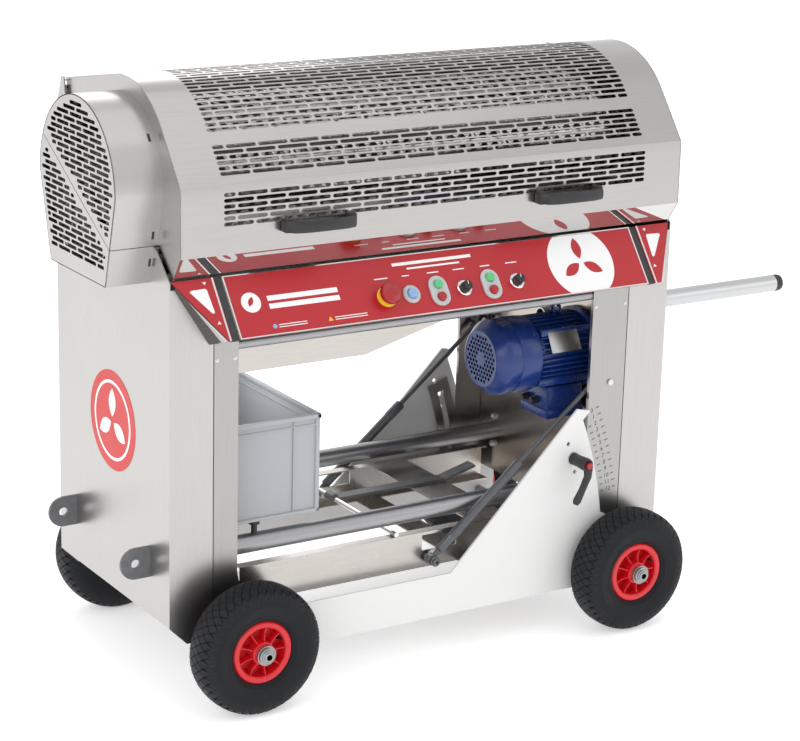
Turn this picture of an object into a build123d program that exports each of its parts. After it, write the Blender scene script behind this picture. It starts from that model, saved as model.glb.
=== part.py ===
"""Wheeled drum trimming machine: a tilting stainless body on a four-wheel chassis.

Built in millimetres with x = 0 at the left axle, y = 0 on the machine's middle plane and
z = 0 on the floor. Every node is then moved along x so that the origin is the middle of
the machine's footprint.
"""
from build123d import *
import math
import os

# ---- driving dimensions (mm, degrees) -------------------------------------------------
WHEELBASE = 888.0          # between the two axles
WHEEL_R = 130.0            # 3.00-4 pneumatic wheel, 260 mm over the tyre
WHEEL_W = 85.0
WHEEL_Y = 308.0            # middle plane of each wheel
AXLE_R = 10.0
AXLE_CLEAR = 0.05          # running clearance on every axle and shaft
SHEET = 2.5                # body sheet

BODY_LEFT, BODY_RIGHT = -151.0, 999.0
BODY_HALF = 247.0          # half depth of the body
HOOD_LEFT, HOOD_RIGHT = -143.0, 991.0
POST_LEFT = (-58.0, -7.0)  # inner strip of the left leg
POST_RIGHT = (811.0, 899.0)
COVER_GAP = 2.0            # dark line between a post and its leg cover
LEG_TOP = 834.0

DRUM_Y, DRUM_Z, DRUM_R = -46.0, 1002.0, 150.0
GUARD_LEFT, GUARD_R = -240.0, 165.0
GUARD_TAPER = 17.0         # slope of the guard's straight lower sides
GUARD_BASE = 832.0

HINGE_Y, HINGE_Z = 204.0, 1151.0
HINGE_PIN = (208.0, 1149.5)
SPLIT = [(-248.0, 851.0), (-195.0, 899.0), (81.0, 1059.0), (200.0, 1128.0)]
HOOD_ARC_R = 195.0
HOOD_FACET = 36.6          # angle of the sloping facet's normal above level
HOOD_TOP_FALL = 11.3       # slope of the flat top towards the hinge

CONSOLE_TOP = (-248.0, 850.0)
CONSOLE_FRONT = (-325.0, 749.0)
CONSOLE_BACK = (-247.0, 722.0)
CONSOLE_X = (-148.0, 990.0)        # top edge of the sloping face
CONSOLE_FOOT_X = (-68.0, 921.0)    # bottom edge of the sloping face
PANEL_X = (-42.0, 885.0)
PANEL_T = 2.0
FASCIA_DEPTH = math.dist(CONSOLE_TOP, CONSOLE_FRONT)

# controls: (x, distance down the sloping face)
ESTOP, RESET = (282.0, 82.0), (337.0, 83.0)
TWINS = {"tumbler": (399.0, 84.0), "blades": (519.0, 84.0)}
KNOBS = {"tumbler": (458.0, 84.0), "blades": (581.0, 84.0)}
TWIN_STEP = 13.0
CONTROL_HOLES = ([(*ESTOP, 8.5), (*RESET, 10.5)]
                 + [(x, s + ds, 9.5) for x, s in TWINS.values() for ds in (-TWIN_STEP, TWIN_STEP)]
                 + [(*place, 6.0) for place in KNOBS.values()])

TUBE_R, TUBE_Y, TUBE_Z = 19.0, 188.0, 294.0
MOTOR_PLATE_X = 878.0
MOTOR_Y, MOTOR_Z, MOTOR_R = -108.0, 568.0, 80.0
MOTOR_LEFT, FAN_COVER_LEN = 632.0, 103.0
REEL_Z, REEL_R = 817.0, 32.0
PULLEY_X = 915.0
ROLLER_R = 28.0
ROLLER_SPREAD = 124.0      # sideways distance of each roller from the drum's axis
MOTOR_PULLEY_R, REEL_PULLEY_R = 36.0, 30.0

PLATE_Y = (253.0, 258.0)   # white side plate, inner and outer face
PIVOT_Z = WHEEL_R
CLAMP_X, CLAMP_Z = 771.0, 375.0
RAIL_Y, RAIL_Z = 213.0, (181.0, 256.0)

SPRING_Y = 229.0
SPRING_FOOT = (447.0, 202.0)
SPRING_HEAD = (860.0, 545.0)
CYLINDER_R, ROD_R = 10.0, 4.8
CYLINDER_LEN = 270.0

CRATE = (-98.0, 202.0, -200.0, 200.0, 338.0, 538.0)
CRATE_WALL = 3.0
BAR_R, BAR_Z = 19.0, 606.0
BAR_END = 1524.0

X_MID = (GUARD_LEFT + BAR_END) / 2
MIN_END = (Align.CENTER, Align.CENTER, Align.MIN)


# ---- helpers --------------------------------------------------------------------------
def prism_yz(outline, x_low, x_high):
    """Extrude a closed (y, z) outline from x_low to x_high."""
    plane = Plane(origin=(x_low, 0, 0), x_dir=(0, 1, 0), z_dir=(1, 0, 0))
    face = outline if isinstance(outline, (Face, Sketch)) else Polygon(*outline, align=None)
    return extrude(plane * face, x_high - x_low, dir=(1, 0, 0))


def prism_xz(outline, y_low, y_high):
    """Extrude a closed (x, z) outline from y_low to y_high."""
    plane = Plane(origin=(0, y_high, 0), x_dir=(1, 0, 0), z_dir=(0, -1, 0))
    face = outline if isinstance(outline, (Face, Sketch)) else Polygon(*outline, align=None)
    return extrude(plane * face, y_high - y_low, dir=(0, -1, 0))


def block(x0, x1, y0, y1, z0, z1):
    """Box between two corners."""
    return Pos((x0 + x1) / 2, (y0 + y1) / 2, (z0 + z1) / 2) * Box(x1 - x0, y1 - y0, z1 - z0)


def rod(start, end, radius):
    """Round bar between two points."""
    axis = Vector(*end) - Vector(*start)
    return Plane(origin=start, z_dir=axis) * Cylinder(radius, axis.length, align=MIN_END)


def rod_x(y, z, x0, x1, radius):
    """Round bar along x."""
    return rod((x0, y, z), (x1, y, z), radius)


def rod_y(x, z, y0, y1, radius):
    """Round bar along y."""
    return rod((x, y0, z), (x, y1, z), radius)


def mirrored(shape):
    """The same piece on the other side of the middle plane."""
    return mirror(shape, about=Plane.XZ)


def group(*shapes):
    """Separate solids kept in one node."""
    return Compound(children=[solid for shape in shapes for solid in shape.solids()])


def node(name, shape):
    """Write one node, moved so that the footprint's middle is at x = 0."""
    export_step(Pos(-X_MID, 0, 0) * shape, f"parts/{name}.step")


# ---- outlines shared by several pieces -------------------------------------------------
def hood_outline(inset=0.0):
    """Closed (y, z) outline of the hood and the region above the split line."""
    facet = math.radians(HOOD_FACET)
    fall = math.radians(HOOD_TOP_FALL)
    r = HOOD_ARC_R
    arc_from = (DRUM_Y - r * math.cos(facet), DRUM_Z + r * math.sin(facet))
    arc_mid = (DRUM_Y - r * math.sin((facet - fall) / 2 + 0.1), 0)
    arc_mid = (arc_mid[0], DRUM_Z + math.sqrt(r**2 - (arc_mid[0] - DRUM_Y) ** 2))
    arc_to = (DRUM_Y + r * math.sin(fall), DRUM_Z + r * math.cos(fall))
    lower = [(HINGE_Y, HINGE_Z), *reversed(SPLIT), (-249.0, 857.0), (-276.0, 897.0),
             (-274.0, 1025.0), arc_from]
    edges = Polyline(arc_to, *lower) + ThreePointArc(arc_from, arc_mid, arc_to)
    face = make_face(edges)
    return offset(face, -inset, kind=Kind.INTERSECTION) if inset else face


def guard_outline(inset=0.0):
    """Closed (y, z) outline of the end guard: a round top over tapering sides."""
    taper = math.radians(GUARD_TAPER)
    r = GUARD_R - inset
    side_y, side_z = r * math.cos(taper), DRUM_Z - r * math.sin(taper)
    base_z = GUARD_BASE + inset
    foot_y = side_y - (side_z - base_z) * math.tan(taper)
    sides = Polyline((DRUM_Y + side_y, side_z), (DRUM_Y + foot_y, base_z),
                     (DRUM_Y - foot_y, base_z), (DRUM_Y - side_y, side_z))
    crown = ThreePointArc((DRUM_Y - side_y, side_z), (DRUM_Y, DRUM_Z + r),
                          (DRUM_Y + side_y, side_z))
    return make_face(sides + crown)


def above_split(gap):
    """Large (y, z) region above the guard's diagonal seam, lifted by half the gap."""
    (y0, z0), (y1, z1) = SPLIT[1], SPLIT[2]
    slope = (z1 - z0) / (y1 - y0)
    lift = gap / 2 / math.cos(math.atan(slope))
    left, right = -400.0, 400.0
    return [(left, z0 + slope * (left - y0) + lift), (right, z0 + slope * (right - y0) + lift),
            (right, 1600.0), (left, 1600.0)]


# ---- wheels ----------------------------------------------------------------------------
def wheel_parts(x, side):
    """Tyre and rim of one wheel; side is -1 at the front and +1 at the back."""
    half = WHEEL_W / 2
    tyre_profile = make_face(
        Polyline((63, -30), (63, 30), (78, 37), (108, half), (122, half - 6))
        + ThreePointArc((122, half - 6), (WHEEL_R, 0), (122, 6 - half))
        + Polyline((122, 6 - half), (108, -half), (78, -37), (63, -30)))
    rim_profile = Polygon((AXLE_R + AXLE_CLEAR, -44), (22, -44), (22, -8), (50, -8), (50, -28),
                          (62.7, -30), (62.7, 30), (50, 28), (50, 8), (22, 8), (22, 44),
                          (AXLE_R + AXLE_CLEAR, 44), align=None)
    place = Pos(x, side * WHEEL_Y, WHEEL_R)
    return [place * Rot(-90, 0, 0) * revolve(Plane.XZ * profile, Axis.Z)
            for profile in (tyre_profile, rim_profile)]


# ---- chassis ---------------------------------------------------------------------------
def side_plate():
    """Front side plate: low rail, sloping upright, scale pointer and round edge."""
    radius = math.hypot(791.0, 455.0 - PIVOT_Z)
    def on_arc(z):
        return math.sqrt(radius**2 - (z - PIVOT_Z) ** 2)
    upright = Polyline((on_arc(245.0), 245.0), (928.0, 205.0), (928.0, 88.0), (-40.0, 88.0),
                       (-40.0, 176.0), (477.0, 176.0), (776.0, 480.0), (809.0, 473.0),
                       (on_arc(455.0), 455.0))
    edge = ThreePointArc((on_arc(455.0), 455.0), (on_arc(350.0), 350.0), (on_arc(245.0), 245.0))
    plate = prism_xz(make_face(upright + edge), -PLATE_Y[1], -PLATE_Y[0])
    plate -= [rod_y(x, PIVOT_Z, -270, -240, AXLE_R + AXLE_CLEAR) for x in (0.0, WHEELBASE)]
    plate -= [rod_y(x, z, -270, -240, 4.5) for x, z in ((757.0, 408.0), (776.0, 345.0))]
    return plate - rod_y(CLAMP_X, CLAMP_Z, -270, -240, 6.3)


def chassis_tray():
    """Two C-rails joined by cross straps that also carry the side plates."""
    z0, z1 = RAIL_Z
    rail = (block(16, 862, -RAIL_Y, -RAIL_Y + SHEET, z0, z1)
            + block(16, 862, -RAIL_Y, -RAIL_Y + 22, z1 - SHEET, z1)
            + block(16, 862, -RAIL_Y, -RAIL_Y + 30, z0, z0 + SHEET))
    rail -= block(434, 517, -RAIL_Y - 5, -RAIL_Y + 5, 217, 250)
    straps = [block(x, x + 60, -PLATE_Y[0], PLATE_Y[0], z0, z0 + SHEET) for x in (34.0, 520.0, 700.0)]
    straps.append(block(560, 650, -RAIL_Y + 1, RAIL_Y - 1, z1 - SHEET, z1))
    rail -= rod_y(SPRING_FOOT[0], SPRING_FOOT[1], -RAIL_Y - 5, -RAIL_Y + 5, 6.0)
    return rail + mirrored(rail) + straps


def axle_set():
    """Both through axles with their end nuts, and the springs' lower bolts."""
    axles = []
    for x in (0.0, WHEELBASE):
        axle = rod_y(x, PIVOT_Z, -366, 366, AXLE_R)
        for side in (-1, 1):
            nut = extrude(Plane.XZ * RegularPolygon(17, 6), 9, dir=(0, 1, 0))
            axle += Pos(x, 355 if side > 0 else -364, PIVOT_Z) * nut
            axle += rod_y(x, PIVOT_Z, *sorted((side * 353.0, side * 356.0)), 20)
        axles.append(axle)
    bolt = (rod_y(*SPRING_FOOT, -RAIL_Y - 32, -RAIL_Y + SHEET + 6, 6.0)
            + rod_y(*SPRING_FOOT, -RAIL_Y - 34, -RAIL_Y - 29, 9.0))
    return group(*axles, bolt, mirrored(bolt))


def tie_bar():
    """Flat bar with a bent-up end, hung on the cross rod and lying on the cross plate."""
    top = RAIL_Z[1]
    bar = prism_xz([(373, top), (648, top), (726, top + 20), (724, top + 26), (647, top + 6),
                    (373, top + 6)], 32, 60)
    bar += rod_y(373, top + 5, 32, 60, 10)
    return bar - rod_y(373, top + 5, 30, 62, 5.05) - block(360, 400, 30, 62, top - 10, top)


# ---- body ------------------------------------------------------------------------------
def side_panel_outline():
    """(y, z) outline of a leg's outer panel, cut along the split line at the top."""
    h = BODY_HALF
    return [(-h, 174.0), (h, 174.0), (h, 1078.0), (HINGE_Y + 14, HINGE_Z - 3),
            (HINGE_Y + 12, HINGE_Z + 5), (HINGE_Y, HINGE_Z + 5), (200.5, 1126.0),
            (81.9, 1057.3), (-193.7, 897.0), (-h, 848.5)]


def left_cover():
    """Left leg cover: side panel with front and back strips, chamfered at the foot."""
    h, foot = BODY_HALF, 137.0
    outline = side_panel_outline()
    panel = prism_yz(outline, BODY_LEFT, BODY_LEFT + SHEET)
    strip = prism_xz([(BODY_LEFT, 174), (BODY_LEFT + 37, foot), (POST_LEFT[0] - COVER_GAP, foot),
                      (POST_LEFT[0] - COVER_GAP, LEG_TOP), (BODY_LEFT, LEG_TOP)], -h, -h + SHEET)
    cover = panel + strip + mirrored(strip)
    return cover - rod_x(DRUM_Y, DRUM_Z, BODY_LEFT - 5, BODY_LEFT + 5, DRUM_R + 6)


def right_cover():
    """Right leg cover, with the hole for the handle bar."""
    h, foot = BODY_HALF, 192.0
    outline = [(y, max(z, foot)) for y, z in side_panel_outline()]
    panel = prism_yz(outline, BODY_RIGHT - SHEET, BODY_RIGHT)
    strip = block(POST_RIGHT[1] + COVER_GAP, BODY_RIGHT, -h, -h + SHEET, foot, LEG_TOP)
    cover = panel + strip + mirrored(strip)
    return cover - rod_x(0, BAR_Z, BODY_RIGHT - 5, BODY_RIGHT + 5, BAR_R + 2 * AXLE_CLEAR)


def leg_posts():
    """Four posts; the left ones hang on the axle, the right ones carry the tilt quadrant."""
    h = BODY_HALF
    lug = prism_xz(make_face(Polyline((-30, PIVOT_Z), (-58, 260), (-7, 260), (30, PIVOT_Z))
                             + ThreePointArc((30, PIVOT_Z), (0, PIVOT_Z - 30), (-30, PIVOT_Z))),
                   -h, -h + 5)
    left = block(*POST_LEFT, -h, -h + SHEET, 200, LEG_TOP)
    left += block(POST_LEFT[1] - SHEET, POST_LEFT[1], -h, -h + 28, 262, LEG_TOP) + lug
    left -= rod_y(0, PIVOT_Z, -h - 5, -h + 8, AXLE_R + AXLE_CLEAR)
    right = block(*POST_RIGHT, -h, -h + SHEET, 192, LEG_TOP)
    right += block(POST_RIGHT[0], POST_RIGHT[0] + SHEET, -h, -h + 8, 420, LEG_TOP)
    slot_r = math.hypot(CLAMP_X, CLAMP_Z - PIVOT_Z)
    top = math.atan2(CLAMP_Z - PIVOT_Z, CLAMP_X)
    low, high = top - math.radians(13), top + math.radians(0.6)
    def ring_face(inner, outer, a0, a1):
        def at(r, a):
            return (r * math.cos(a), PIVOT_Z + r * math.sin(a))
        mid = (a0 + a1) / 2
        return make_face(ThreePointArc(at(inner, a0), at(inner, mid), at(inner, a1))
                         + Line(at(inner, a1), at(outer, a1))
                         + ThreePointArc(at(outer, a1), at(outer, mid), at(outer, a0))
                         + Line(at(outer, a0), at(inner, a0)))
    right += prism_xz(ring_face(slot_r - 26, slot_r + 26, low - 0.03, high + 0.03), -h, -h + SHEET)
    right -= prism_xz(ring_face(slot_r - 7, slot_r + 7, low, high), -h - 1, -h + SHEET + 1)
    return group(left, mirrored(left), right, mirrored(right))


def motor_plate():
    """Upright inner plate of the right leg that carries the motor and the bearings."""
    plate = block(MOTOR_PLATE_X, MOTOR_PLATE_X + 3, -BODY_HALF + 4, BODY_HALF - 4, 200, LEG_TOP - 2)
    plate -= rod_x(MOTOR_Y, MOTOR_Z, 870, 890, 20)
    plate -= rod_x(DRUM_Y, REEL_Z, 870, 890, 11)
    plate -= rod_x(0, BAR_Z, 870, 890, BAR_R + 2 * AXLE_CLEAR)
    plate -= [rod_x(MOTOR_Y - 60 + 12 * i, 420 - 14 * j, 870, 890, 2.5)
              for i in range(4) for j in range(3)]
    plate -= [block(MOTOR_PLATE_X - 5, MOTOR_PLATE_X + 8, y - 17, y + 17, SPRING_HEAD[1] - 24,
                    SPRING_HEAD[1] + 24) for y in (-SPRING_Y - 4, SPRING_Y + 4)]
    return plate


def tube_between(x0, x1, y, z, radius, wall):
    """Thin-walled tube along x."""
    return rod_x(y, z, x0, x1, radius) - rod_x(y, z, x0 - 1, x1 + 1, radius - wall)


def rear_panel():
    """Back sheet from the hood hinge down to the posts, narrower between them."""
    top_y, top_z = HINGE_Y + 7, HINGE_Z - 12
    outer = [(top_y, top_z), (BODY_HALF, 1078), (BODY_HALF, LEG_TOP + 2), (BODY_HALF - 2, LEG_TOP + 2),
             (BODY_HALF - 2, 1077.4), (top_y - 1.8, top_z - 1)]
    sheet = prism_yz(outer, BODY_LEFT + SHEET, BODY_RIGHT - SHEET)
    return sheet + block(-5, 809, BODY_HALF - 2, BODY_HALF, 704, LEG_TOP + 3)


def hopper():
    """Open trough under the drum that leads the cuttings down, with the fixed bed knife."""
    half = 158.0
    outer = [(-140, 830), (-140, 700), (-60, 630), (323, 630), (872, 775), (872, 830)]
    inner = [(-138, 860), (-138, 701), (-59, 632), (322.7, 632), (870, 776.6), (870, 860)]
    trough = prism_xz(outer, -half, half)
    trough += [block(x, x + 2, -11, 42, 828, 845) for x in (-140, 870)]
    trough -= prism_xz(inner, -half + 2, half - 2)
    trough -= block(-56, 196, -half + 2, half - 2, 620, 640)
    trough -= rod_x(DRUM_Y, REEL_Z, 860, 880, 11)
    flange = block(BODY_LEFT + SHEET, MOTOR_PLATE_X, -half - 50, -half, 828, 830)
    knife = block(-139, 871, -11, 42, 838, 845)
    return trough + flange + mirrored(flange) + knife


def bearing_blocks():
    """Bearings of the two roller shafts and of the reel shaft."""
    blocks = []
    left, right = BODY_LEFT + SHEET, BODY_RIGHT - SHEET
    for y in (DRUM_Y - ROLLER_SPREAD, DRUM_Y + ROLLER_SPREAD):
        z = roller_z(y)
        for x0, x1 in ((left, left + 14), (right - 14, right)):
            seat = block(x0, x1, y - 18, y + 18, z - 18, z + 14)
            blocks.append(seat - rod_x(y, z, x0 - 1, x1 + 1, 8.0 + AXLE_CLEAR))
    for x0, x1 in ((-138.0, -129.0), (MOTOR_PLATE_X + 3, MOTOR_PLATE_X + 11)):
        seat = block(x0, x1, DRUM_Y - 20, DRUM_Y + 20, REEL_Z - 20, REEL_Z + 14)
        blocks.append(seat - rod_x(DRUM_Y, REEL_Z, x0 - 1, x1 + 1, 10.0 + AXLE_CLEAR))
    return group(*blocks)


def guard_piece(upper):
    """Upper or lower half of the perforated end guard, split along the diagonal seam."""
    right = HOOD_LEFT if upper else BODY_LEFT
    shell = prism_yz(guard_outline(), GUARD_LEFT, right)
    shell -= prism_yz(guard_outline(2.0), GUARD_LEFT + 2, right + 1)
    if upper:
        return shell & prism_yz(above_split(1.0), GUARD_LEFT - 1, right + 1)
    return shell - prism_yz(above_split(-1.0), GUARD_LEFT - 1, right + 1)


# ---- console ---------------------------------------------------------------------------
def console_plane():
    """Plane of the sloping face: local x along the machine, local y up the slope."""
    (y0, z0), (y1, z1) = CONSOLE_TOP, CONSOLE_FRONT
    return Plane(origin=(0, y0, z0), x_dir=(1, 0, 0), z_dir=(0, z1 - z0, y0 - y1))


def on_console(shape, x, down):
    """Put a shape on the sloping face, measured down from its top edge."""
    return console_plane() * Pos(x, -down, 0) * shape


def console_box():
    """Hollow wedge under the sloping face, tapered at both ends."""
    wedge = prism_yz([CONSOLE_TOP, CONSOLE_FRONT, CONSOLE_BACK], *CONSOLE_X)
    for x_top, x_foot in zip(CONSOLE_X, CONSOLE_FOOT_X):
        run = x_foot - x_top
        beyond = math.copysign(40.0, -run)
        cutter = [(x_top, CONSOLE_TOP[1]), (x_foot + 0.14 * run, CONSOLE_BACK[1]),
                  (x_foot + 0.14 * run, 600), (x_top + beyond, 600), (x_top + beyond, 900),
                  (x_top, 900)]
        wedge -= prism_xz(cutter, -400, -200)
    wedge -= on_console(block(-400, 1300, -FASCIA_DEPTH - 40, 40, -PANEL_T, 20), 0, 0)
    hollow = prism_yz([(-262.0, 822.0), (-308.0, 755.0), (-262.0, 737.0)], -30, 872)
    wedge -= hollow
    for x, down, r in CONTROL_HOLES:
        wedge -= on_console(Cylinder(r, 40), x, down)
    return wedge


def panel_plate(x_top, x_foot, t0, t1):
    """Flat plate on the sloping face between two slanted ends."""
    d = FASCIA_DEPTH
    outline = Polygon((x_top[0], 0), (x_foot[0], -d), (x_foot[1], -d), (x_top[1], 0), align=None)
    return extrude(console_plane() * Pos(0, 0, t0) * outline, t1 - t0)


def console_panels():
    """Red fascia and the two tapered wings at its ends."""
    fascia = panel_plate(PANEL_X, PANEL_X, -PANEL_T, 0)
    for x, down, r in CONTROL_HOLES:
        fascia -= on_console(Cylinder(r, 20), x, down)
    left = panel_plate((CONSOLE_X[0], PANEL_X[0] - 20), (CONSOLE_FOOT_X[0], PANEL_X[0] - 20),
                       -PANEL_T, 0)
    right = panel_plate((PANEL_X[1] + 20, CONSOLE_X[1]), (PANEL_X[1] + 20, CONSOLE_FOOT_X[1]),
                        -PANEL_T, 0)
    return group(fascia, left, right)


def control_bezels():
    """Collars of the emergency stop, the reset button, the twin buttons and the knobs."""
    collar = Cylinder(20.5, 5, align=MIN_END) - Cylinder(8.5, 20)
    ring = Cylinder(15, 4, align=MIN_END) - Cylinder(10.5, 20)
    oval = extrude(SlotOverall(58, 34, rotation=90), 4)
    oval -= [Pos(0, s * TWIN_STEP) * Cylinder(9.5, 20) for s in (-1, 1)]
    washer = Cylinder(15.5, 3, align=MIN_END) - Cylinder(6.0, 20)
    pieces = [on_console(collar, *ESTOP), on_console(ring, *RESET)]
    pieces += [on_console(oval, *place) for place in TWINS.values()]
    pieces += [on_console(washer, *place) for place in KNOBS.values()]
    return group(*pieces)


def push_button(stem_r, head_r, head_low, head_h):
    """Button with a stem through its bezel and a round head above it."""
    stem = Pos(0, 0, -12) * Cylinder(stem_r, 12 + head_low + 1, align=MIN_END)
    head = Pos(0, 0, head_low) * Cylinder(head_r, head_h, align=MIN_END)
    return stem + fillet(head.edges().group_by(Axis.Z)[-1], head_h * 0.3)


# ---- moving pieces ---------------------------------------------------------------------
def hood_shell():
    """Sheet hood with closed ends, open below along the split line."""
    t = 2.0
    outer = prism_yz(hood_outline(), HOOD_LEFT, HOOD_RIGHT)
    inner = prism_yz(hood_outline(t), HOOD_LEFT + t, HOOD_RIGHT - t)
    lip = Vector(0, 27.0, -40.0).normalized() * 9.0
    hood = outer - inner - Pos(lip) * inner - Pos(lip * 0.5) * inner
    hood += rod_x(*HINGE_PIN, HOOD_LEFT, HOOD_RIGHT, 5.0)
    hood -= rod_x(*HINGE_PIN, HOOD_LEFT - 1, HOOD_RIGHT + 1, 2.5 + AXLE_CLEAR)
    return hood - rod_x(DRUM_Y, DRUM_Z, HOOD_LEFT - 5, HOOD_LEFT + 5, DRUM_R + 6)


def hood_handles():
    """Two bow handles on the hood's upright front face."""
    grip_z, front = 942.0, -276.0
    handles = []
    for x in (138.0, 706.0):
        bow = block(x - 77, x + 77, front - 44, front - 26, grip_z - 12.5, grip_z + 12.5)
        bow = fillet(bow.edges().filter_by(Axis.X), 5)
        legs = [block(x + s * 68 - 9, x + s * 68 + 9, front - 30, front, grip_z - 11.5, grip_z + 11.5)
                for s in (-1, 1)]
        handles.append(bow + legs)
    return group(*handles)


def gas_spring():
    """Cylinder and rod of the front gas spring, along the line between its pivots."""
    (x0, z0), (x1, z1) = SPRING_FOOT, SPRING_HEAD
    length = math.dist(SPRING_FOOT, SPRING_HEAD)
    ux, uz = (x1 - x0) / length, (z1 - z0) / length
    def at(s):
        return (x0 + ux * s, -SPRING_Y, z0 + uz * s)
    barrel = Polygon((0, 9), (8, 9), (8, 24), (CYLINDER_R, 26), (CYLINDER_R, CYLINDER_LEN - 40),
                     (CYLINDER_R + 1, CYLINDER_LEN - 40), (CYLINDER_R + 1, CYLINDER_LEN),
                     (ROD_R + AXLE_CLEAR, CYLINDER_LEN), (ROD_R + AXLE_CLEAR, 60), (0, 60),
                     align=None)
    line = Plane(origin=at(0), z_dir=(ux, 0, uz))
    cylinder = line * revolve(Plane.XZ * barrel, Axis.Z)
    cylinder += rod_y(x0, z0, -SPRING_Y - 9, -SPRING_Y + 9, 15)
    cylinder -= rod_y(x0, z0, -SPRING_Y - 20, -SPRING_Y + 20, 6.0 + AXLE_CLEAR)
    rod_piece = rod(at(66), at(length - 14), ROD_R) + rod_y(x1, z1, -SPRING_Y - 8, -SPRING_Y + 8, 17)
    rod_piece -= rod_y(x1, z1, -SPRING_Y - 20, -SPRING_Y + 20, 12)
    return cylinder, rod_piece


def clamp_lever():
    """Clamping lever: hub along y, then an arm that hangs down."""
    y_face = -PLATE_Y[1] - 0.5
    hub = rod_y(CLAMP_X, CLAMP_Z, y_face - 52, y_face, 13)
    elbow = rod((CLAMP_X - 3, y_face - 42, CLAMP_Z + 6), (CLAMP_X - 24, y_face - 36, CLAMP_Z - 78), 9)
    stud = rod_y(CLAMP_X, CLAMP_Z, y_face - 2, -BODY_HALF + 12, 6.2)
    lever = hub + elbow + stud
    return lever - rod_y(CLAMP_X, CLAMP_Z, y_face - 60, y_face - 40, 7.0)


def crate():
    """Open plastic crate with a thick rim and corner posts."""
    x0, x1, y0, y1, z0, z1 = CRATE
    w = CRATE_WALL
    body = block(x0 + 4, x1 - 4, y0 + 4, y1 - 4, z0, z1) + block(x0, x1, y0, y1, z1 - 22, z1)
    body += [block(x - 8, x + 8, y - 8, y + 8, z0, z1)
             for x in (x0 + 8, x1 - 8) for y in (y0 + 8, y1 - 8)]
    return body - block(x0 + 4 + w, x1 - 4 - w, y0 + 4 + w, y1 - 4 - w, z0 + w, z1 + 1)


def crate_rests():
    """Rubber-topped pegs on the lower tubes that the crate stands on."""
    low = TUBE_Z + 10
    pegs = []
    for x in (-75.0, 61.0):
        for y in (-TUBE_Y, TUBE_Y):
            peg = Pos(x, y, low) * Cylinder(6, 30, align=MIN_END)
            peg += Pos(x, y, CRATE[4] - 6.3) * Cylinder(11, 6, align=MIN_END)
            pegs.append(peg - rod_x(y, TUBE_Z, x - 20, x + 20, TUBE_R))
    return group(*pegs)


def drum():
    """Drum shell with an end hoop at each end and three inner lifting bars."""
    x0, x1 = -228.0, 980.0
    shell = rod_x(DRUM_Y, DRUM_Z, x0, x1, DRUM_R) - rod_x(DRUM_Y, DRUM_Z, x0 - 1, x1 + 1, DRUM_R - 2)
    bar = block(x0 + 60, x1 - 20, DRUM_Y - 3, DRUM_Y + 3, DRUM_Z - DRUM_R + 1, DRUM_Z - DRUM_R + 14)
    spin = Axis((0, DRUM_Y, DRUM_Z), (1, 0, 0))
    return shell + [bar.rotate(spin, 120 * i) for i in range(3)]


def blade_reel():
    """Cutting reel with four blades, its shaft and the driven pulley."""
    shaft = rod_x(DRUM_Y, REEL_Z, -130, PULLEY_X + 12, 10.0)
    blade = block(-120, 866, DRUM_Y - 1.5, DRUM_Y + 1.5, REEL_Z - REEL_R, REEL_Z)
    spin = Axis((0, DRUM_Y, REEL_Z), (1, 0, 0))
    pulley = rod_x(DRUM_Y, REEL_Z, PULLEY_X - 12, PULLEY_X + 12, REEL_PULLEY_R)
    return shaft + [blade.rotate(spin, 90 * i) for i in range(4)] + pulley


def drive_belt():
    """Flat loop around the motor pulley and the reel pulley."""
    def loop(extra):
        a = Pos(MOTOR_Y, MOTOR_Z) * Circle(MOTOR_PULLEY_R + extra)
        b = Pos(DRUM_Y, REEL_Z) * Circle(REEL_PULLEY_R + extra)
        return make_hull(a.edges() + b.edges())
    outer = prism_yz(loop(4.3), PULLEY_X - 9, PULLEY_X + 9)
    return outer - prism_yz(loop(0.3), PULLEY_X - 10, PULLEY_X + 10)


def roller_z(y):
    """Height at which a roller just clears the drum."""
    reach = DRUM_R + ROLLER_R + 0.4
    return DRUM_Z - math.sqrt(reach**2 - (y - DRUM_Y) ** 2)


def support_roller(y):
    """Shaft with a rubber roller at each end that carries the drum."""
    z = roller_z(y)
    return (rod_x(y, z, BODY_LEFT + 4, BODY_RIGHT - 4, 8) + rod_x(y, z, -120, -88, ROLLER_R)
            + rod_x(y, z, 930, 962, ROLLER_R))


def motor_frame():
    """Motor body with its flange, bolted to the motor plate."""
    left = MOTOR_LEFT + FAN_COVER_LEN
    body = rod_x(MOTOR_Y, MOTOR_Z, left + 0.5, MOTOR_PLATE_X - 12, 68)
    body += rod_x(MOTOR_Y, MOTOR_Z, MOTOR_PLATE_X - 14, MOTOR_PLATE_X, 84)
    return body - rod_x(MOTOR_Y, MOTOR_Z, left, MOTOR_PLATE_X + 1, 11.5 + AXLE_CLEAR)


def motor_rotor():
    """Motor shaft with the drive pulley."""
    return (rod_x(MOTOR_Y, MOTOR_Z, MOTOR_LEFT + FAN_COVER_LEN + 10, PULLEY_X + 14, 11.5)
            + rod_x(MOTOR_Y, MOTOR_Z, PULLEY_X - 12, PULLEY_X + 12, MOTOR_PULLEY_R))


def fan_cover():
    """Round cover over the motor's fan, open towards the motor."""
    r, t, deep = MOTOR_R, 3.0, FAN_COVER_LEN
    profile = Polygon((0, 0), (r - 8, 0), (r, 8), (r, deep), (r - t, deep), (r - t, 9.5),
                      (r - 9.5, t), (0, t), align=None)
    place = Plane(origin=(MOTOR_LEFT, MOTOR_Y, MOTOR_Z), x_dir=(0, 1, 0), z_dir=(1, 0, 0))
    return place * revolve(Plane.XZ * profile, Axis.Z)


def terminal_box():
    """Connection box hung under the motor body."""
    box = block(770, 864, MOTOR_Y - 50, MOTOR_Y + 44, 428, 520)
    return box - rod_x(MOTOR_Y, MOTOR_Z, 760, 890, 68.3)


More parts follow.
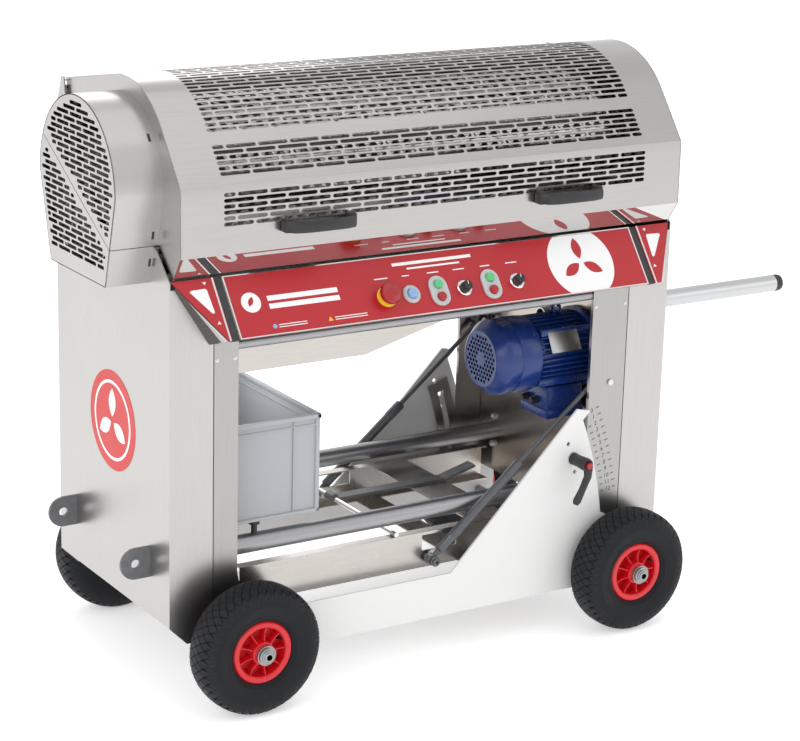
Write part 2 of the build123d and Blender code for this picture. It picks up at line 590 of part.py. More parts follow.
def hitch_tabs():
    """Two drilled tabs on the left panel, standing in the x-z plane."""
    tabs = []
    for y in (-161.0, 169.0):
        plate = block(BODY_LEFT - 34, BODY_LEFT, y - 3, y + 3, 252, 314)
        plate += rod_y(BODY_LEFT - 30, 283, y - 3, y + 3, 31)
        plate -= rod_y(BODY_LEFT - 30, 283, y - 5, y + 5, 9)
        tabs.append(plate & block(BODY_LEFT - 70, BODY_LEFT, y - 5, y + 5, 240, 330))
    return group(*tabs)


def body_bolts():
    """Spring head pins and the bolt heads on the right posts and the tubes' ends."""
    h = BODY_HALF
    pin = rod_y(*SPRING_HEAD, -h + SHEET, -SPRING_Y + 12, 5.0)
    head = rod_y(863, 524, -h - 4, -h, 6.5)
    return group(pin, mirrored(pin), head, mirrored(head))


# ---- write every node --------------------------------------------------------------------
os.makedirs("parts", exist_ok=True)

for axle_name, axle_x in (("left", 0.0), ("right", WHEELBASE)):
    for end_name, end_side in (("front", -1), ("rear", 1)):
        tyre, rim = wheel_parts(axle_x, end_side)
        node(f"tyre_{end_name}_{axle_name}", tyre)
        node(f"rim_{end_name}_{axle_name}", rim)

node("side_plate_front", side_plate())
node("side_plate_rear", mirrored(side_plate()))
node("chassis_rails", chassis_tray())
node("axle_set", axle_set())
node("tie_bar", tie_bar())
node("cross_rod", rod_y(373, RAIL_Z[1] + 5, -RAIL_Y + 1, RAIL_Y - 1, 5.0))

node("left_leg_cover", left_cover())
node("right_leg_cover", right_cover())
node("leg_posts", leg_posts())
node("motor_plate", motor_plate())
lower_tube = tube_between(BODY_LEFT + SHEET, MOTOR_PLATE_X, -TUBE_Y, TUBE_Z, TUBE_R, 2.5)
console_tube = tube_between(-6.5, 810.5, -234.0, 713.0, 10.0, 2.0)
node("cross_tubes", group(lower_tube, mirrored(lower_tube), console_tube))
node("rear_panel", rear_panel())
node("hopper", hopper())
node("guard_lower", guard_piece(upper=False))
node("bearing_blocks", bearing_blocks())
node("crate_rests", crate_rests())
node("hitch_tabs", hitch_tabs())
node("body_bolts", body_bolts())
node("console_box", console_box())
node("console_panels", console_panels())
node("control_bezels", control_bezels())

node("motor_frame", motor_frame())
node("fan_cover", fan_cover())
node("terminal_box", terminal_box())
node("motor_rotor", motor_rotor())
node("drive_belt", drive_belt())
node("blade_reel", blade_reel())
node("drum", drum())
for roller_name, spread in (("front", -ROLLER_SPREAD), ("rear", ROLLER_SPREAD)):
    node(f"drum_roller_{roller_name}", support_roller(DRUM_Y + spread))

node("hood_shell", hood_shell())
node("hood_handles", hood_handles())
node("guard_upper", guard_piece(upper=True))
node("hinge_pin", rod_x(*HINGE_PIN, BODY_LEFT + SHEET, BODY_RIGHT - SHEET, 2.5))

node("estop_button", on_console(push_button(8.0, 20, 12, 14), *ESTOP))
node("reset_button", on_console(push_button(10.0, 10.0, 6, 4), *RESET))
for name, (cx, down) in TWINS.items():
    node(f"{name}_start", on_console(push_button(9.0, 9.0, 5, 5), cx, down - TWIN_STEP))
    node(f"{name}_stop", on_console(push_button(9.0, 9.0, 5, 5), cx, down + TWIN_STEP))
for name, (cx, down) in KNOBS.items():
    knob = Pos(0, 0, 4) * Cylinder(10.5, 14, align=MIN_END)
    knob += Pos(0, 0, -10) * Cylinder(5.4, 15, align=MIN_END)
    node(f"{name}_knob", on_console(knob, cx, down))

node("clamp_lever", clamp_lever())
node("lever_button", rod_y(CLAMP_X, CLAMP_Z, -PLATE_Y[1] - 58, -PLATE_Y[1] - 44, 6.5))
front_cylinder, front_rod = gas_spring()
node("spring_cylinder_front", front_cylinder)
node("spring_cylinder_rear", mirrored(front_cylinder))
node("spring_rod_front", front_rod)
node("spring_rod_rear", mirrored(front_rod))

node("crate", crate())
node("handle_bar", tube_between(858, BAR_END - 20, 0, BAR_Z, BAR_R, 2.5))
node("bar_end_cap", rod_x(0, BAR_Z, BAR_END - 20, BAR_END, BAR_R))
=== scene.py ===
"""Visual model of a wheeled drum trimming machine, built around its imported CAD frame.

Pieces are shaped in machine millimetres: x from the left axle along the machine, y from
the machine's middle plane towards the back, z up from the floor.
"""
from __future__ import annotations

import logging
import math
from dataclasses import dataclass
from enum import Enum
from typing import Callable, Iterable, Optional, Sequence

import bmesh
import bpy
from mathutils import Matrix, Vector

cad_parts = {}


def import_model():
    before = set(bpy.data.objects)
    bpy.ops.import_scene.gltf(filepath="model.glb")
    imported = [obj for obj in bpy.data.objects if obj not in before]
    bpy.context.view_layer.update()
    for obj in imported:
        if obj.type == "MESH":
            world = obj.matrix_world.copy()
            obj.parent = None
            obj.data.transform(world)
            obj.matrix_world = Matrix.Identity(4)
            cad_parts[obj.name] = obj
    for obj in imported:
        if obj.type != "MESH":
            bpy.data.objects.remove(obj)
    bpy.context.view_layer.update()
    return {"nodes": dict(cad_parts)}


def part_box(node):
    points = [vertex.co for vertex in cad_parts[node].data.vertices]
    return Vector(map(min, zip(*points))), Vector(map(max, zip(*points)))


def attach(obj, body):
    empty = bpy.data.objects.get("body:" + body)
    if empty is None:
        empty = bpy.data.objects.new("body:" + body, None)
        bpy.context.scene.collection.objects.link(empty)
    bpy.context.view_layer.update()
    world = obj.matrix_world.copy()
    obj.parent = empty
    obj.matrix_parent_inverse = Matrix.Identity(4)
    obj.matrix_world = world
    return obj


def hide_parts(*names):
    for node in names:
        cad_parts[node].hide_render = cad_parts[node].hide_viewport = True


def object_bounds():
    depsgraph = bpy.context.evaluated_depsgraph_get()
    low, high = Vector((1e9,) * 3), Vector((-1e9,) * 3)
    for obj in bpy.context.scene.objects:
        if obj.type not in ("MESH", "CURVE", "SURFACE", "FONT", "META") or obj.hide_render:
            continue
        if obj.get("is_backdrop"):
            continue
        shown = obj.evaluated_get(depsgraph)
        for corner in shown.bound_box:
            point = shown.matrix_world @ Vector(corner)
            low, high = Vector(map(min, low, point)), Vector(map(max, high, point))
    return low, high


LOG = logging.getLogger("trimmer")
Point2 = tuple[float, float]
Point3 = tuple[float, float, float]
Place = Callable[[float, float, float], Point3]

MM_PER_M = 1000.0
SIDES = (-1, 1)                  # front, rear
LEAF_TURNS = (90, 210, 330)      # directions of a mark's three leaves, degrees
WHEELBASE = 888.0
AXLE_Z = 130.0
BODY_END_X = -151.0              # outer face of the left end panel
BODY_SIDE_Y = 246.9              # outer face of the front and rear sheets
DRUM_CENTER: Point2 = (-46.0, 1002.0)
SPRING_FOOT: Point2 = (447.0, 202.0)
SEAM: tuple[Point2, Point2] = ((-195.0, 899.0), (81.0, 1059.0))   # hood to body, in (y, z)


# ---- shader building -----------------------------------------------------------------
class GrainRun(Enum):
    """Direction in which a finish's fine lines run."""

    ALONG_X = (1.0, 45.0, 45.0)
    ALONG_Z = (45.0, 45.0, 1.0)
    NONE = (30.0, 30.0, 30.0)


def add_node(tree: bpy.types.NodeTree, kind: str, inputs: dict[str | int, object],
             **settings: object) -> bpy.types.Node:
    """Add a shader node and feed its inputs.

    Args:
        tree: Tree that it goes into.
        kind: Node type without its common prefix.
        inputs: Output socket or plain value for each input.
        settings: Further properties of the node.

    Returns:
        The new node.
    """
    node = tree.nodes.new(f"ShaderNode{kind}")
    for name, value in settings.items():
        setattr(node, name, value)
    for key, value in inputs.items():
        if isinstance(value, bpy.types.NodeSocket):
            tree.links.new(value, node.inputs[key])
        else:
            node.inputs[key].default_value = value
    return node


class ShaderGroups:
    """The node groups that several finishes share, each made once."""

    _made: dict[str, bpy.types.NodeTree] = {}

    @classmethod
    def _tree(cls, name: str, inputs: dict[str, Point3 | float],
              outputs: Sequence[str]) -> bpy.types.NodeTree:
        """Make an empty group with its sockets.

        Args:
            name: Name of the group.
            inputs: Default value of each input.
            outputs: Names of the outputs.

        Returns:
            The new node tree, holding its input and output nodes.
        """
        tree = cls._made[name] = bpy.data.node_groups.new(name, "ShaderNodeTree")
        for label, value in inputs.items():
            kind = "NodeSocketFloat" if isinstance(value, float) else "NodeSocketVector"
            socket = tree.interface.new_socket(label, in_out="INPUT", socket_type=kind)
            socket.default_value = value
        for label in outputs:
            tree.interface.new_socket(label, in_out="OUTPUT", socket_type="NodeSocketFloat")
        tree.nodes.new("NodeGroupInput").name = "in"
        tree.nodes.new("NodeGroupOutput").name = "out"
        return tree

    @classmethod
    def grain(cls) -> bpy.types.NodeTree:
        """Fine directional lines.

        Returns:
            Group with a mask and a height as outputs.
        """
        if "Fine grain" in cls._made:
            return cls._made["Fine grain"]
        tree = cls._tree("Fine grain", {"Run": (1.0, 45.0, 45.0), "Scale": 20.0, "Contrast": 1.0},
                         ("Mask", "Height"))
        given, sink = tree.nodes["in"].outputs, tree.nodes["out"].inputs
        place = add_node(tree, "TexCoord", {})
        stretch = add_node(tree, "VectorMath", {0: place.outputs["Object"], 1: given["Run"]},
                           operation="MULTIPLY")
        fine = add_node(tree, "TexNoise", {"Vector": stretch.outputs[0], "Scale": given["Scale"],
                                           "Detail": 4.0, "Roughness": 0.65})
        spread = add_node(tree, "MapRange", {"Value": fine.outputs[0], "From Min": 0.3,
                                             "From Max": 0.7})
        strength = add_node(tree, "Math", {0: spread.outputs[0], 1: given["Contrast"]},
                            operation="MULTIPLY")
        tree.links.new(strength.outputs[0], sink["Mask"])
        tree.links.new(fine.outputs[0], sink["Height"])
        return tree

    @classmethod
    def clouds(cls) -> bpy.types.NodeTree:
        """Broad soft blotches, such as handling marks and uneven polish.

        Returns:
            Group with one value as output.
        """
        if "Soft clouds" in cls._made:
            return cls._made["Soft clouds"]
        tree = cls._tree("Soft clouds", {"Scale": 4.0, "Low": 0.0, "High": 1.0}, ("Value",))
        given = tree.nodes["in"].outputs
        place = add_node(tree, "TexCoord", {})
        noise = add_node(tree, "TexNoise", {"Vector": place.outputs["Object"], "Scale": given["Scale"],
                                            "Detail": 3.0})
        spread = add_node(tree, "MapRange", {"Value": noise.outputs[0], "From Min": 0.25,
                                             "From Max": 0.75, "To Min": given["Low"],
                                             "To Max": given["High"]})
        tree.links.new(spread.outputs[0], tree.nodes["out"].inputs["Value"])
        return tree

    @classmethod
    def edge_wear(cls) -> bpy.types.NodeTree:
        """Mask that is bright on rubbed outer edges, broken up by noise.

        Returns:
            Group with the mask as output.
        """
        if "Edge wear" in cls._made:
            return cls._made["Edge wear"]
        tree = cls._tree("Edge wear", {"Amount": 0.5}, ("Mask",))
        shape = add_node(tree, "NewGeometry", {})
        edge = add_node(tree, "MapRange", {"Value": shape.outputs["Pointiness"], "From Min": 0.52,
                                           "From Max": 0.66})
        place = add_node(tree, "TexCoord", {})
        noise = add_node(tree, "TexNoise", {"Vector": place.outputs["Object"], "Scale": 60.0})
        broken = add_node(tree, "Math", {0: edge.outputs[0], 1: noise.outputs[0]},
                          operation="MULTIPLY")
        amount = add_node(tree, "Math", {0: broken.outputs[0], 1: tree.nodes["in"].outputs["Amount"]},
                          operation="MULTIPLY", use_clamp=True)
        tree.links.new(amount.outputs[0], tree.nodes["out"].inputs["Mask"])
        return tree


@dataclass(frozen=True)
class Finish:
    """One surface finish, with the detail that its real material shows.

    Attributes:
        name: Material name.
        slot: Material slot of the record that it stands for.
        color: Main linear colour.
        shade: Second colour that the blotches and lines bring in.
        metallic: Metalness.
        roughness: Lowest and highest roughness over the surface.
        run: Direction of the fine lines.
        grain_scale: Frequency of the fine lines.
        grain_mix: How far the fine lines tint the colour.
        bump: Height of the fine lines in millimetres.
        wear: Strength of rubbed edges.
        wear_color: Colour of rubbed edges.
        coat: Clear coat weight.
        clouds: Frequency of the broad blotches.
        shine: Strength of the plain reflection on a non-metal.
    """

    name: str
    slot: str
    color: Point3
    shade: Point3
    metallic: float = 0.0
    roughness: Point2 = (0.35, 0.5)
    run: GrainRun = GrainRun.NONE
    grain_scale: float = 40.0
    grain_mix: float = 0.3
    bump: float = 0.05
    wear: float = 0.0
    wear_color: Point3 = (0.7, 0.7, 0.7)
    coat: float = 0.0
    clouds: float = 5.0
    shine: float = 0.5

    def material(self) -> bpy.types.Material:
        """Build the material on first use.

        Returns:
            The material, which is the same one on each call.
        """
        known = bpy.data.materials.get(self.name)
        if known:
            return known
        made = bpy.data.materials.new(self.name)
        made.use_nodes = True
        made.diffuse_color = (*self.color, 1.0)
        made.metallic = self.metallic
        tree = made.node_tree
        shader = tree.nodes["Principled BSDF"].inputs
        for name, value in (("Metallic", self.metallic), ("Specular IOR Level", self.shine),
                            ("Coat Weight", self.coat), ("Coat Roughness", 0.08)):
            shader[name].default_value = value
        grain = add_node(tree, "Group", {"Run": self.run.value, "Scale": self.grain_scale,
                                         "Contrast": self.grain_mix}, node_tree=ShaderGroups.grain())
        blotch = add_node(tree, "Group", {"Scale": self.clouds, "Low": self.roughness[0],
                                          "High": self.roughness[1]}, node_tree=ShaderGroups.clouds())
        tint = add_node(tree, "Mix", {"Factor": grain.outputs["Mask"], "A": (*self.color, 1.0),
                                      "B": (*self.shade, 1.0)}, data_type="RGBA")
        color = tint.outputs["Result"]
        if self.wear:
            worn = add_node(tree, "Group", {"Amount": self.wear}, node_tree=ShaderGroups.edge_wear())
            rub = add_node(tree, "Mix", {"Factor": worn.outputs["Mask"], "A": color,
                                         "B": (*self.wear_color, 1.0)}, data_type="RGBA")
            color = rub.outputs["Result"]
        tree.links.new(color, shader["Base Color"])
        tree.links.new(blotch.outputs["Value"], shader["Roughness"])
        bump = add_node(tree, "Bump", {"Height": grain.outputs["Height"], "Strength": 0.6,
                                       "Distance": self.bump / MM_PER_M})
        tree.links.new(bump.outputs["Normal"], shader["Normal"])
        return made


STEEL = Finish("Brushed sheet along", "steel", (0.485, 0.47, 0.46), (0.42, 0.405, 0.395), 1.0,
               (0.17, 0.27), GrainRun.ALONG_X, 14.0, 0.5, 0.02, clouds=3.0)
STEEL_UP = Finish("Brushed sheet upright", "steel", (0.52, 0.505, 0.495), (0.45, 0.435, 0.425), 1.0,
                  (0.25, 0.36), GrainRun.ALONG_Z, 14.0, 0.5, 0.03, clouds=3.0)
LIP_MIRROR = Finish("Mirror lip", "steel", (0.62, 0.61, 0.60), (0.57, 0.56, 0.55), 1.0,
                    (0.015, 0.04), GrainRun.ALONG_X, 12.0, 0.3, 0.0, clouds=4.0)
POST_STEEL = Finish("Post sheet", "steel", (0.42, 0.41, 0.40), (0.36, 0.35, 0.34), 1.0,
                    (0.25, 0.36), GrainRun.ALONG_Z, 14.0, 0.5, 0.03, clouds=3.0)
TUBE_SATIN = Finish("Satin tube", "aluminium", (0.38, 0.38, 0.39), (0.32, 0.32, 0.33), 1.0,
                    (0.32, 0.42), GrainRun.ALONG_X, 14.0, 0.4, 0.02, clouds=5.0)
DRUM_STEEL = Finish("Drum sheet", "polished_steel", (0.50, 0.49, 0.48), (0.36, 0.35, 0.34), 1.0,
                    (0.10, 0.22), GrainRun.ALONG_X, 12.0, 0.5, 0.01, clouds=6.0)
STEEL_INNER = Finish("Inner sheet", "inner_steel", (0.56, 0.53, 0.50), (0.44, 0.41, 0.38), 1.0,
                     (0.20, 0.34), GrainRun.ALONG_X, 16.0, 0.5, 0.03, clouds=6.0)
STEEL_INNER_UP = Finish("Inner plate", "inner_steel", (0.50, 0.45, 0.41), (0.36, 0.32, 0.29), 1.0,
                        (0.16, 0.32), GrainRun.ALONG_Z, 16.0, 0.5, 0.03, clouds=6.0)
POLISHED = Finish("Polished steel", "polished_steel", (0.80, 0.80, 0.79), (0.68, 0.68, 0.67), 1.0,
                  (0.08, 0.16), GrainRun.ALONG_X, 12.0, 0.4, 0.01, clouds=4.0)
BOLT = Finish("Bolt zinc", "bolt_zinc", (0.66, 0.66, 0.65), (0.45, 0.45, 0.45), 1.0,
              (0.22, 0.36), grain_scale=90.0, bump=0.03, clouds=30.0)
NUT_STEEL = Finish("Nut steel", "bolt_zinc", (0.36, 0.36, 0.36), (0.22, 0.22, 0.22), 1.0,
                   (0.16, 0.30), grain_scale=90.0, bump=0.03, clouds=30.0)
ALUMINIUM = Finish("Satin aluminium tube", "aluminium", (0.58, 0.585, 0.59), (0.51, 0.515, 0.52), 1.0,
                   (0.30, 0.40), GrainRun.ALONG_X, 14.0, 0.4, 0.02, clouds=5.0)
WHITE_COAT = Finish("White powder coat", "white_plate", (0.74, 0.74, 0.735), (0.68, 0.68, 0.67), 0.0,
                    (0.34, 0.46), grain_scale=420.0, grain_mix=0.2, bump=0.05, wear=0.15,
                    wear_color=(0.95, 0.95, 0.95))
RED_PANEL = Finish("Red printed panel", "red_panel", (0.44, 0.010, 0.018), (0.38, 0.007, 0.013), 0.0,
                   (0.28, 0.38), grain_scale=160.0, grain_mix=0.35, bump=0.01, coat=0.08, clouds=8.0)
CORAL = Finish("Coral label", "red_panel", (0.58, 0.022, 0.022), (0.51, 0.018, 0.018), 0.0,
               (0.30, 0.42), grain_scale=200.0, grain_mix=0.3, bump=0.01)
LABEL_WHITE = Finish("White label print", "white_plate", (0.86, 0.86, 0.86), (0.80, 0.80, 0.80), 0.0,
                     (0.30, 0.42), grain_scale=200.0, grain_mix=0.3, bump=0.01)
SCALE_INK = Finish("Scale ink", "black_plastic", (0.03, 0.03, 0.03), (0.05, 0.05, 0.05), 0.0,
                   (0.4, 0.6), grain_scale=200.0, bump=0.005)
BLUE_PAINT = Finish("Motor blue enamel", "blue_paint", (0.005, 0.032, 0.19), (0.003, 0.020, 0.13), 0.0,
                    (0.18, 0.34), grain_scale=120.0, grain_mix=0.5, bump=0.12, wear=0.35,
                    wear_color=(0.05, 0.12, 0.36), coat=0.15, clouds=14.0)
RUBBER = Finish("Tyre rubber", "tyre", (0.007, 0.008, 0.010), (0.015, 0.016, 0.019), 0.0,
                (0.48, 0.64), grain_scale=260.0, grain_mix=0.6, bump=0.15, wear=0.3,
                wear_color=(0.06, 0.06, 0.065), clouds=18.0, shine=0.22)
RIM_RED = Finish("Rim red", "rim_red", (0.66, 0.006, 0.014), (0.52, 0.004, 0.010), 0.0,
                 (0.22, 0.34), grain_scale=140.0, grain_mix=0.4, bump=0.05, coat=0.25, clouds=20.0)
BLACK = Finish("Black moulding", "black_plastic", (0.012, 0.012, 0.014), (0.026, 0.026, 0.028), 0.0,
               (0.34, 0.52), grain_scale=320.0, grain_mix=0.5, bump=0.06, wear=0.25,
               wear_color=(0.12, 0.12, 0.12))
DARK_METAL = Finish("Dark coated steel", "dark_metal", (0.085, 0.088, 0.095), (0.12, 0.12, 0.13), 0.25,
                    (0.28, 0.42), grain_scale=200.0, grain_mix=0.5, bump=0.05, wear=0.5,
                    wear_color=(0.30, 0.30, 0.31), clouds=12.0)
# Painted shade: a near-black brownish colour for the shadow that falls on the cheek under each console
# wing.
CHEEK_PAINTED_SHADE = Finish("Shaded cheek sheet", "inner_steel", (0.085, 0.075, 0.068),
                      (0.12, 0.11, 0.10), 0.8, (0.22, 0.34), GrainRun.ALONG_Z, 16.0, 0.5, 0.02, clouds=8.0)
TUBE_GREY = Finish("Gas spring grey", "dark_metal", (0.115, 0.12, 0.13), (0.085, 0.088, 0.095), 0.35,
                   (0.22, 0.32), grain_scale=180.0, grain_mix=0.4, bump=0.03, clouds=12.0)
CRATE_GREY = Finish("Crate polypropylene", "grey_plastic", (0.40, 0.415, 0.44), (0.36, 0.375, 0.40), 0.0,
                    (0.36, 0.50), grain_scale=240.0, grain_mix=0.4, bump=0.06, wear=0.2,
                    wear_color=(0.66, 0.68, 0.72), clouds=7.0)
BEZEL_GREY = Finish("Bezel grey", "grey_plastic", (0.50, 0.51, 0.52), (0.42, 0.43, 0.44), 0.0,
                    (0.28, 0.40), grain_scale=260.0, bump=0.03)
YELLOW = Finish("Signal yellow", "grey_plastic", (0.80, 0.52, 0.02), (0.70, 0.44, 0.015), 0.0,
                (0.26, 0.38), grain_scale=260.0, bump=0.03, coat=0.2)
BUTTON_RED = Finish("Button red", "button_red", (0.36, 0.008, 0.012), (0.29, 0.006, 0.009), 0.0,
                    (0.20, 0.32), grain_scale=260.0, bump=0.03, coat=0.3)
BUTTON_GREEN = Finish("Button green", "button_green", (0.10, 0.50, 0.20), (0.08, 0.42, 0.16), 0.0,
                      (0.20, 0.32), grain_scale=260.0, bump=0.03, coat=0.3)
BUTTON_BLUE = Finish("Button blue", "button_blue", (0.24, 0.40, 0.68), (0.20, 0.34, 0.60), 0.0,
                     (0.20, 0.32), grain_scale=260.0, bump=0.03, coat=0.3)
BELT = Finish("Drive rubber", "belt_rubber", (0.025, 0.025, 0.026), (0.05, 0.05, 0.05), 0.0,
              (0.55, 0.75), grain_scale=220.0, bump=0.08)


# ---- mesh building --------------------------------------------------------------------
def circle(radius: float, steps: int, center: Point2 = (0.0, 0.0)) -> list[Point2]:
    """Points of a circle.

    Args:
        radius: Radius.
        steps: Number of points.
        center: Centre of the circle.

    Returns:
        The points in order.
    """
    return [(center[0] + radius * math.cos(math.tau * i / steps),
             center[1] + radius * math.sin(math.tau * i / steps)) for i in range(steps)]


def stadium(u: float, v: float, length: float, width: float, bend: int = 3) -> list[Point2]:
    """Outline of a slot with round ends, long along u.

    Args:
        u: Middle of the slot along its length.
        v: Middle of the slot across it.
        length: End-to-end length.
        width: Width.
        bend: Number of steps in each round end.

    Returns:
        The outline, anticlockwise, with the right end first.
    """
    r = width / 2
    half = length / 2 - r
    points = []
    for side in (1, -1):
        for i in range(bend + 1):
            a = -math.pi / 2 + math.pi * i / bend + (0 if side > 0 else math.pi)
            points.append((u + side * half + r * math.cos(a), v + r * math.sin(a)))
    return points


def clip(outline: Sequence[Point2], point: Point2, normal: Point2) -> list[Point2]:
    """Keep the part of a closed outline on the side that a normal points to.

    Args:
        outline: Closed outline.
        point: A point on the cutting line.
        normal: Normal of the line, towards the kept side.

    Returns:
        The clipped outline.
    """
    def side(p: Point2) -> float:
        """Signed distance from the line."""
        return (p[0] - point[0]) * normal[0] + (p[1] - point[1]) * normal[1]

    kept: list[Point2] = []
    for a, b in zip(outline, [*outline[1:], outline[0]]):
        da, db = side(a), side(b)
        if da >= 0:
            kept.append(a)
        if (da >= 0) != (db >= 0):
            t = da / (da - db)
            kept.append((a[0] + t * (b[0] - a[0]), a[1] + t * (b[1] - a[1])))
    return kept


class Shape:
    """A mesh being made in machine millimetres."""

    origin_x: float = 0.0

    def __init__(self) -> None:
        """Start an empty mesh."""
        self.bm = bmesh.new()

    def block(self, low: Point3, high: Point3, edge: float = 1.0,
              turn: Optional[Matrix] = None) -> "Shape":
        """Add a box with rounded edges.

        Args:
            low: Lowest corner.
            high: Highest corner.
            edge: Size of the edge rounding.
            turn: Matrix applied to the box.

        Returns:
            This shape.
        """
        size = [h - l for l, h in zip(low, high)]
        middle = Vector([(h + l) / 2 for l, h in zip(low, high)])
        place = Matrix.Translation(middle) @ Matrix.Diagonal((*size, 1.0))
        made = bmesh.ops.create_cube(self.bm, size=1.0, matrix=place)["verts"]
        if edge > 0:
            edges = list({e for v in made for e in v.link_edges})
            made = bmesh.ops.bevel(self.bm, geom=edges, offset=min(edge, min(size) * 0.4), segments=2,
                                   profile=0.5, affect="EDGES")["verts"]
            made = list({v for f in {f for w in made for f in w.link_faces} for v in f.verts})
        if turn:
            bmesh.ops.transform(self.bm, matrix=turn, verts=made)
        return self

    def loft(self, rings: Sequence[Sequence[Vector]], caps: bool = True, wrap: bool = False) -> "Shape":
        """Join closed rings of points with faces.

        Args:
            rings: Rings with the same number of points.
            caps: Close the first and last ring.
            wrap: Join the last ring to the first.

        Returns:
            This shape.
        """
        rows = [[self.bm.verts.new(p) for p in ring] for ring in rings]
        pairs = list(zip(rows, rows[1:])) + ([(rows[-1], rows[0])] if wrap else [])
        for a, b in pairs:
            n = len(a)
            for i in range(n):
                self.bm.faces.new((a[i], a[(i + 1) % n], b[(i + 1) % n], b[i]))
        if caps and not wrap:
            self.bm.faces.new(list(reversed(rows[0])))
            self.bm.faces.new(rows[-1])
        return self

    def lathe(self, profile: Sequence[Point2], center: Point3, axis: Point3,
              steps: int = 48) -> "Shape":
        """Spin a closed profile round an axis.

        Args:
            profile: (radius, distance along the axis) points of a closed outline.
            center: Point on the axis at distance 0.
            axis: Direction of the axis.
            steps: Number of steps round it.

        Returns:
            This shape.
        """
        spindle = Spindle.on(center, axis)
        rings = [[spindle.at(r, math.tau * k / steps, d) for r, d in profile] for k in range(steps)]
        return self.loft(rings, caps=False, wrap=True)

    def solid_turn(self, profile: Sequence[Point2], center: Point3, axis: Point3,
                   steps: int = 48) -> "Shape":
        """Spin an open profile into a solid with flat ends.

        Args:
            profile: (radius, distance along the axis) from one end to the other.
            center: Point on the axis at distance 0.
            axis: Direction of the axis.
            steps: Number of steps round it.

        Returns:
            This shape.
        """
        spindle = Spindle.on(center, axis)
        return self.loft([[spindle.at(r, math.tau * k / steps, d) for k in range(steps)]
                          for r, d in profile])

    def bar(self, start: Point3, end: Point3, radius: float, steps: int = 24,
            edge: float = 0.8) -> "Shape":
        """Add a round bar with eased ends.

        Args:
            start: Middle of one end.
            end: Middle of the other end.
            radius: Radius.
            steps: Number of sides.
            edge: Size of the eased end.

        Returns:
            This shape.
        """
        way = Vector(end) - Vector(start)
        profile = [(radius - edge, 0.0), (radius, edge), (radius, way.length - edge),
                   (radius - edge, way.length)]
        return self.solid_turn(profile, start, tuple(way), steps)

    def prism(self, outline: Sequence[Point2], place: Place,
              low: float, high: float) -> "Shape":
        """Extrude a closed outline between two levels.

        Args:
            outline: Closed outline in (u, v).
            place: Turns (u, v, level) into a point.
            low: First level.
            high: Second level.

        Returns:
            This shape.
        """
        return self.loft([[Vector(place(u, v, level)) for u, v in outline] for level in (low, high)])

    def punched(self, outer: Sequence[Point2], holes: Iterable[Sequence[Point2]],
                place: Place, thick: float) -> "Shape":
        """Add a flat sheet with real holes through it.

        Args:
            outer: Outline of the sheet in (u, v).
            holes: Outlines of the holes.
            place: Turns (u, v, level) into a point, with level 0 in the sheet's middle.
            thick: Thickness of the sheet.

        Returns:
            This shape.
        """
        curve = bpy.data.curves.new("cut sheet", "CURVE")
        curve.dimensions = "2D"
        curve.fill_mode = "BOTH"
        curve.extrude = thick / 2
        for outline in (outer, *holes):
            line = curve.splines.new("POLY")
            line.points.add(len(outline) - 1)
            for point, (u, v) in zip(line.points, outline):
                point.co = (u, v, 0.0, 1.0)
            line.use_cyclic_u = True
        return self._take(curve, place)

    def text(self, words: str, size: float, place: Place) -> "Shape":
        """Add flat figures, centred on (0, 0).

        Args:
            words: Figures to write.
            size: Height of the type.
            place: Turns (u, v, level) into a point.

        Returns:
            This shape.
        """
        curve = bpy.data.curves.new("figures", "FONT")
        curve.body = words
        curve.size = size
        curve.align_x = curve.align_y = "CENTER"
        curve.extrude = 0.1
        return self._take(curve, place)

    def _take(self, curve: bpy.types.Curve, place: Place) -> "Shape":
        """Turn a filled curve into welded faces of this shape.

        Args:
            curve: Curve to turn into faces; it is removed afterwards.
            place: Turns (u, v, level) into a point.

        Returns:
            This shape.
        """
        holder = bpy.data.objects.new(curve.name, curve)
        bpy.context.scene.collection.objects.link(holder)
        graph = bpy.context.evaluated_depsgraph_get()
        mesh = bpy.data.meshes.new_from_object(holder.evaluated_get(graph))
        for vert in mesh.vertices:
            vert.co = place(*vert.co)
        welded = bmesh.new()
        welded.from_mesh(mesh)
        bmesh.ops.remove_doubles(welded, verts=welded.verts, dist=0.001)
        welded.to_mesh(mesh)
        welded.free()
        self.bm.from_mesh(mesh)
        bpy.data.objects.remove(holder)
        bpy.data.curves.remove(curve)
        bpy.data.meshes.remove(mesh)
        return self

    def piece(self, name: str, finish: Finish, body: str, replaces: Sequence[str] = (),
              smooth: float = 32.0, extra: Sequence[Finish] = ()) -> bpy.types.Object:
        """Turn the mesh into a finished piece of the model.

        Args:
            name: Name of the piece.
            finish: Its finish.
            body: CAD body that it rides on.
            replaces: CAD nodes that it stands for.
            smooth: Largest angle that still shades smooth, in degrees.
            extra: Further finishes, for faces with a higher material index.

        Returns:
            The new object.
        """
        bmesh.ops.recalc_face_normals(self.bm, faces=self.bm.faces)
        for vert in self.bm.verts:
            x, y, z = vert.co
            vert.co = (x / MM_PER_M + Shape.origin_x, y / MM_PER_M, z / MM_PER_M)
        mesh = bpy.data.meshes.new(name)
        self.bm.to_mesh(mesh)
        self.bm.free()
        for face in mesh.polygons:
            face.use_smooth = True
        mesh.set_sharp_from_angle(angle=math.radians(smooth))
        made = bpy.data.objects.new(name, mesh)
        bpy.context.scene.collection.objects.link(made)
        for used in (finish, *extra):
            mesh.materials.append(used.material())
        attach(made, body)
        if replaces:
            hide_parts(*replaces)
        LOG.info("%s on %s: %d faces", name, body, len(mesh.polygons))
        return made


def yz_at(x: float) -> Place:
    """Placement of a (y, z) outline across x, with levels measured from x."""
    return lambda u, v, level: (x + level, u, v)


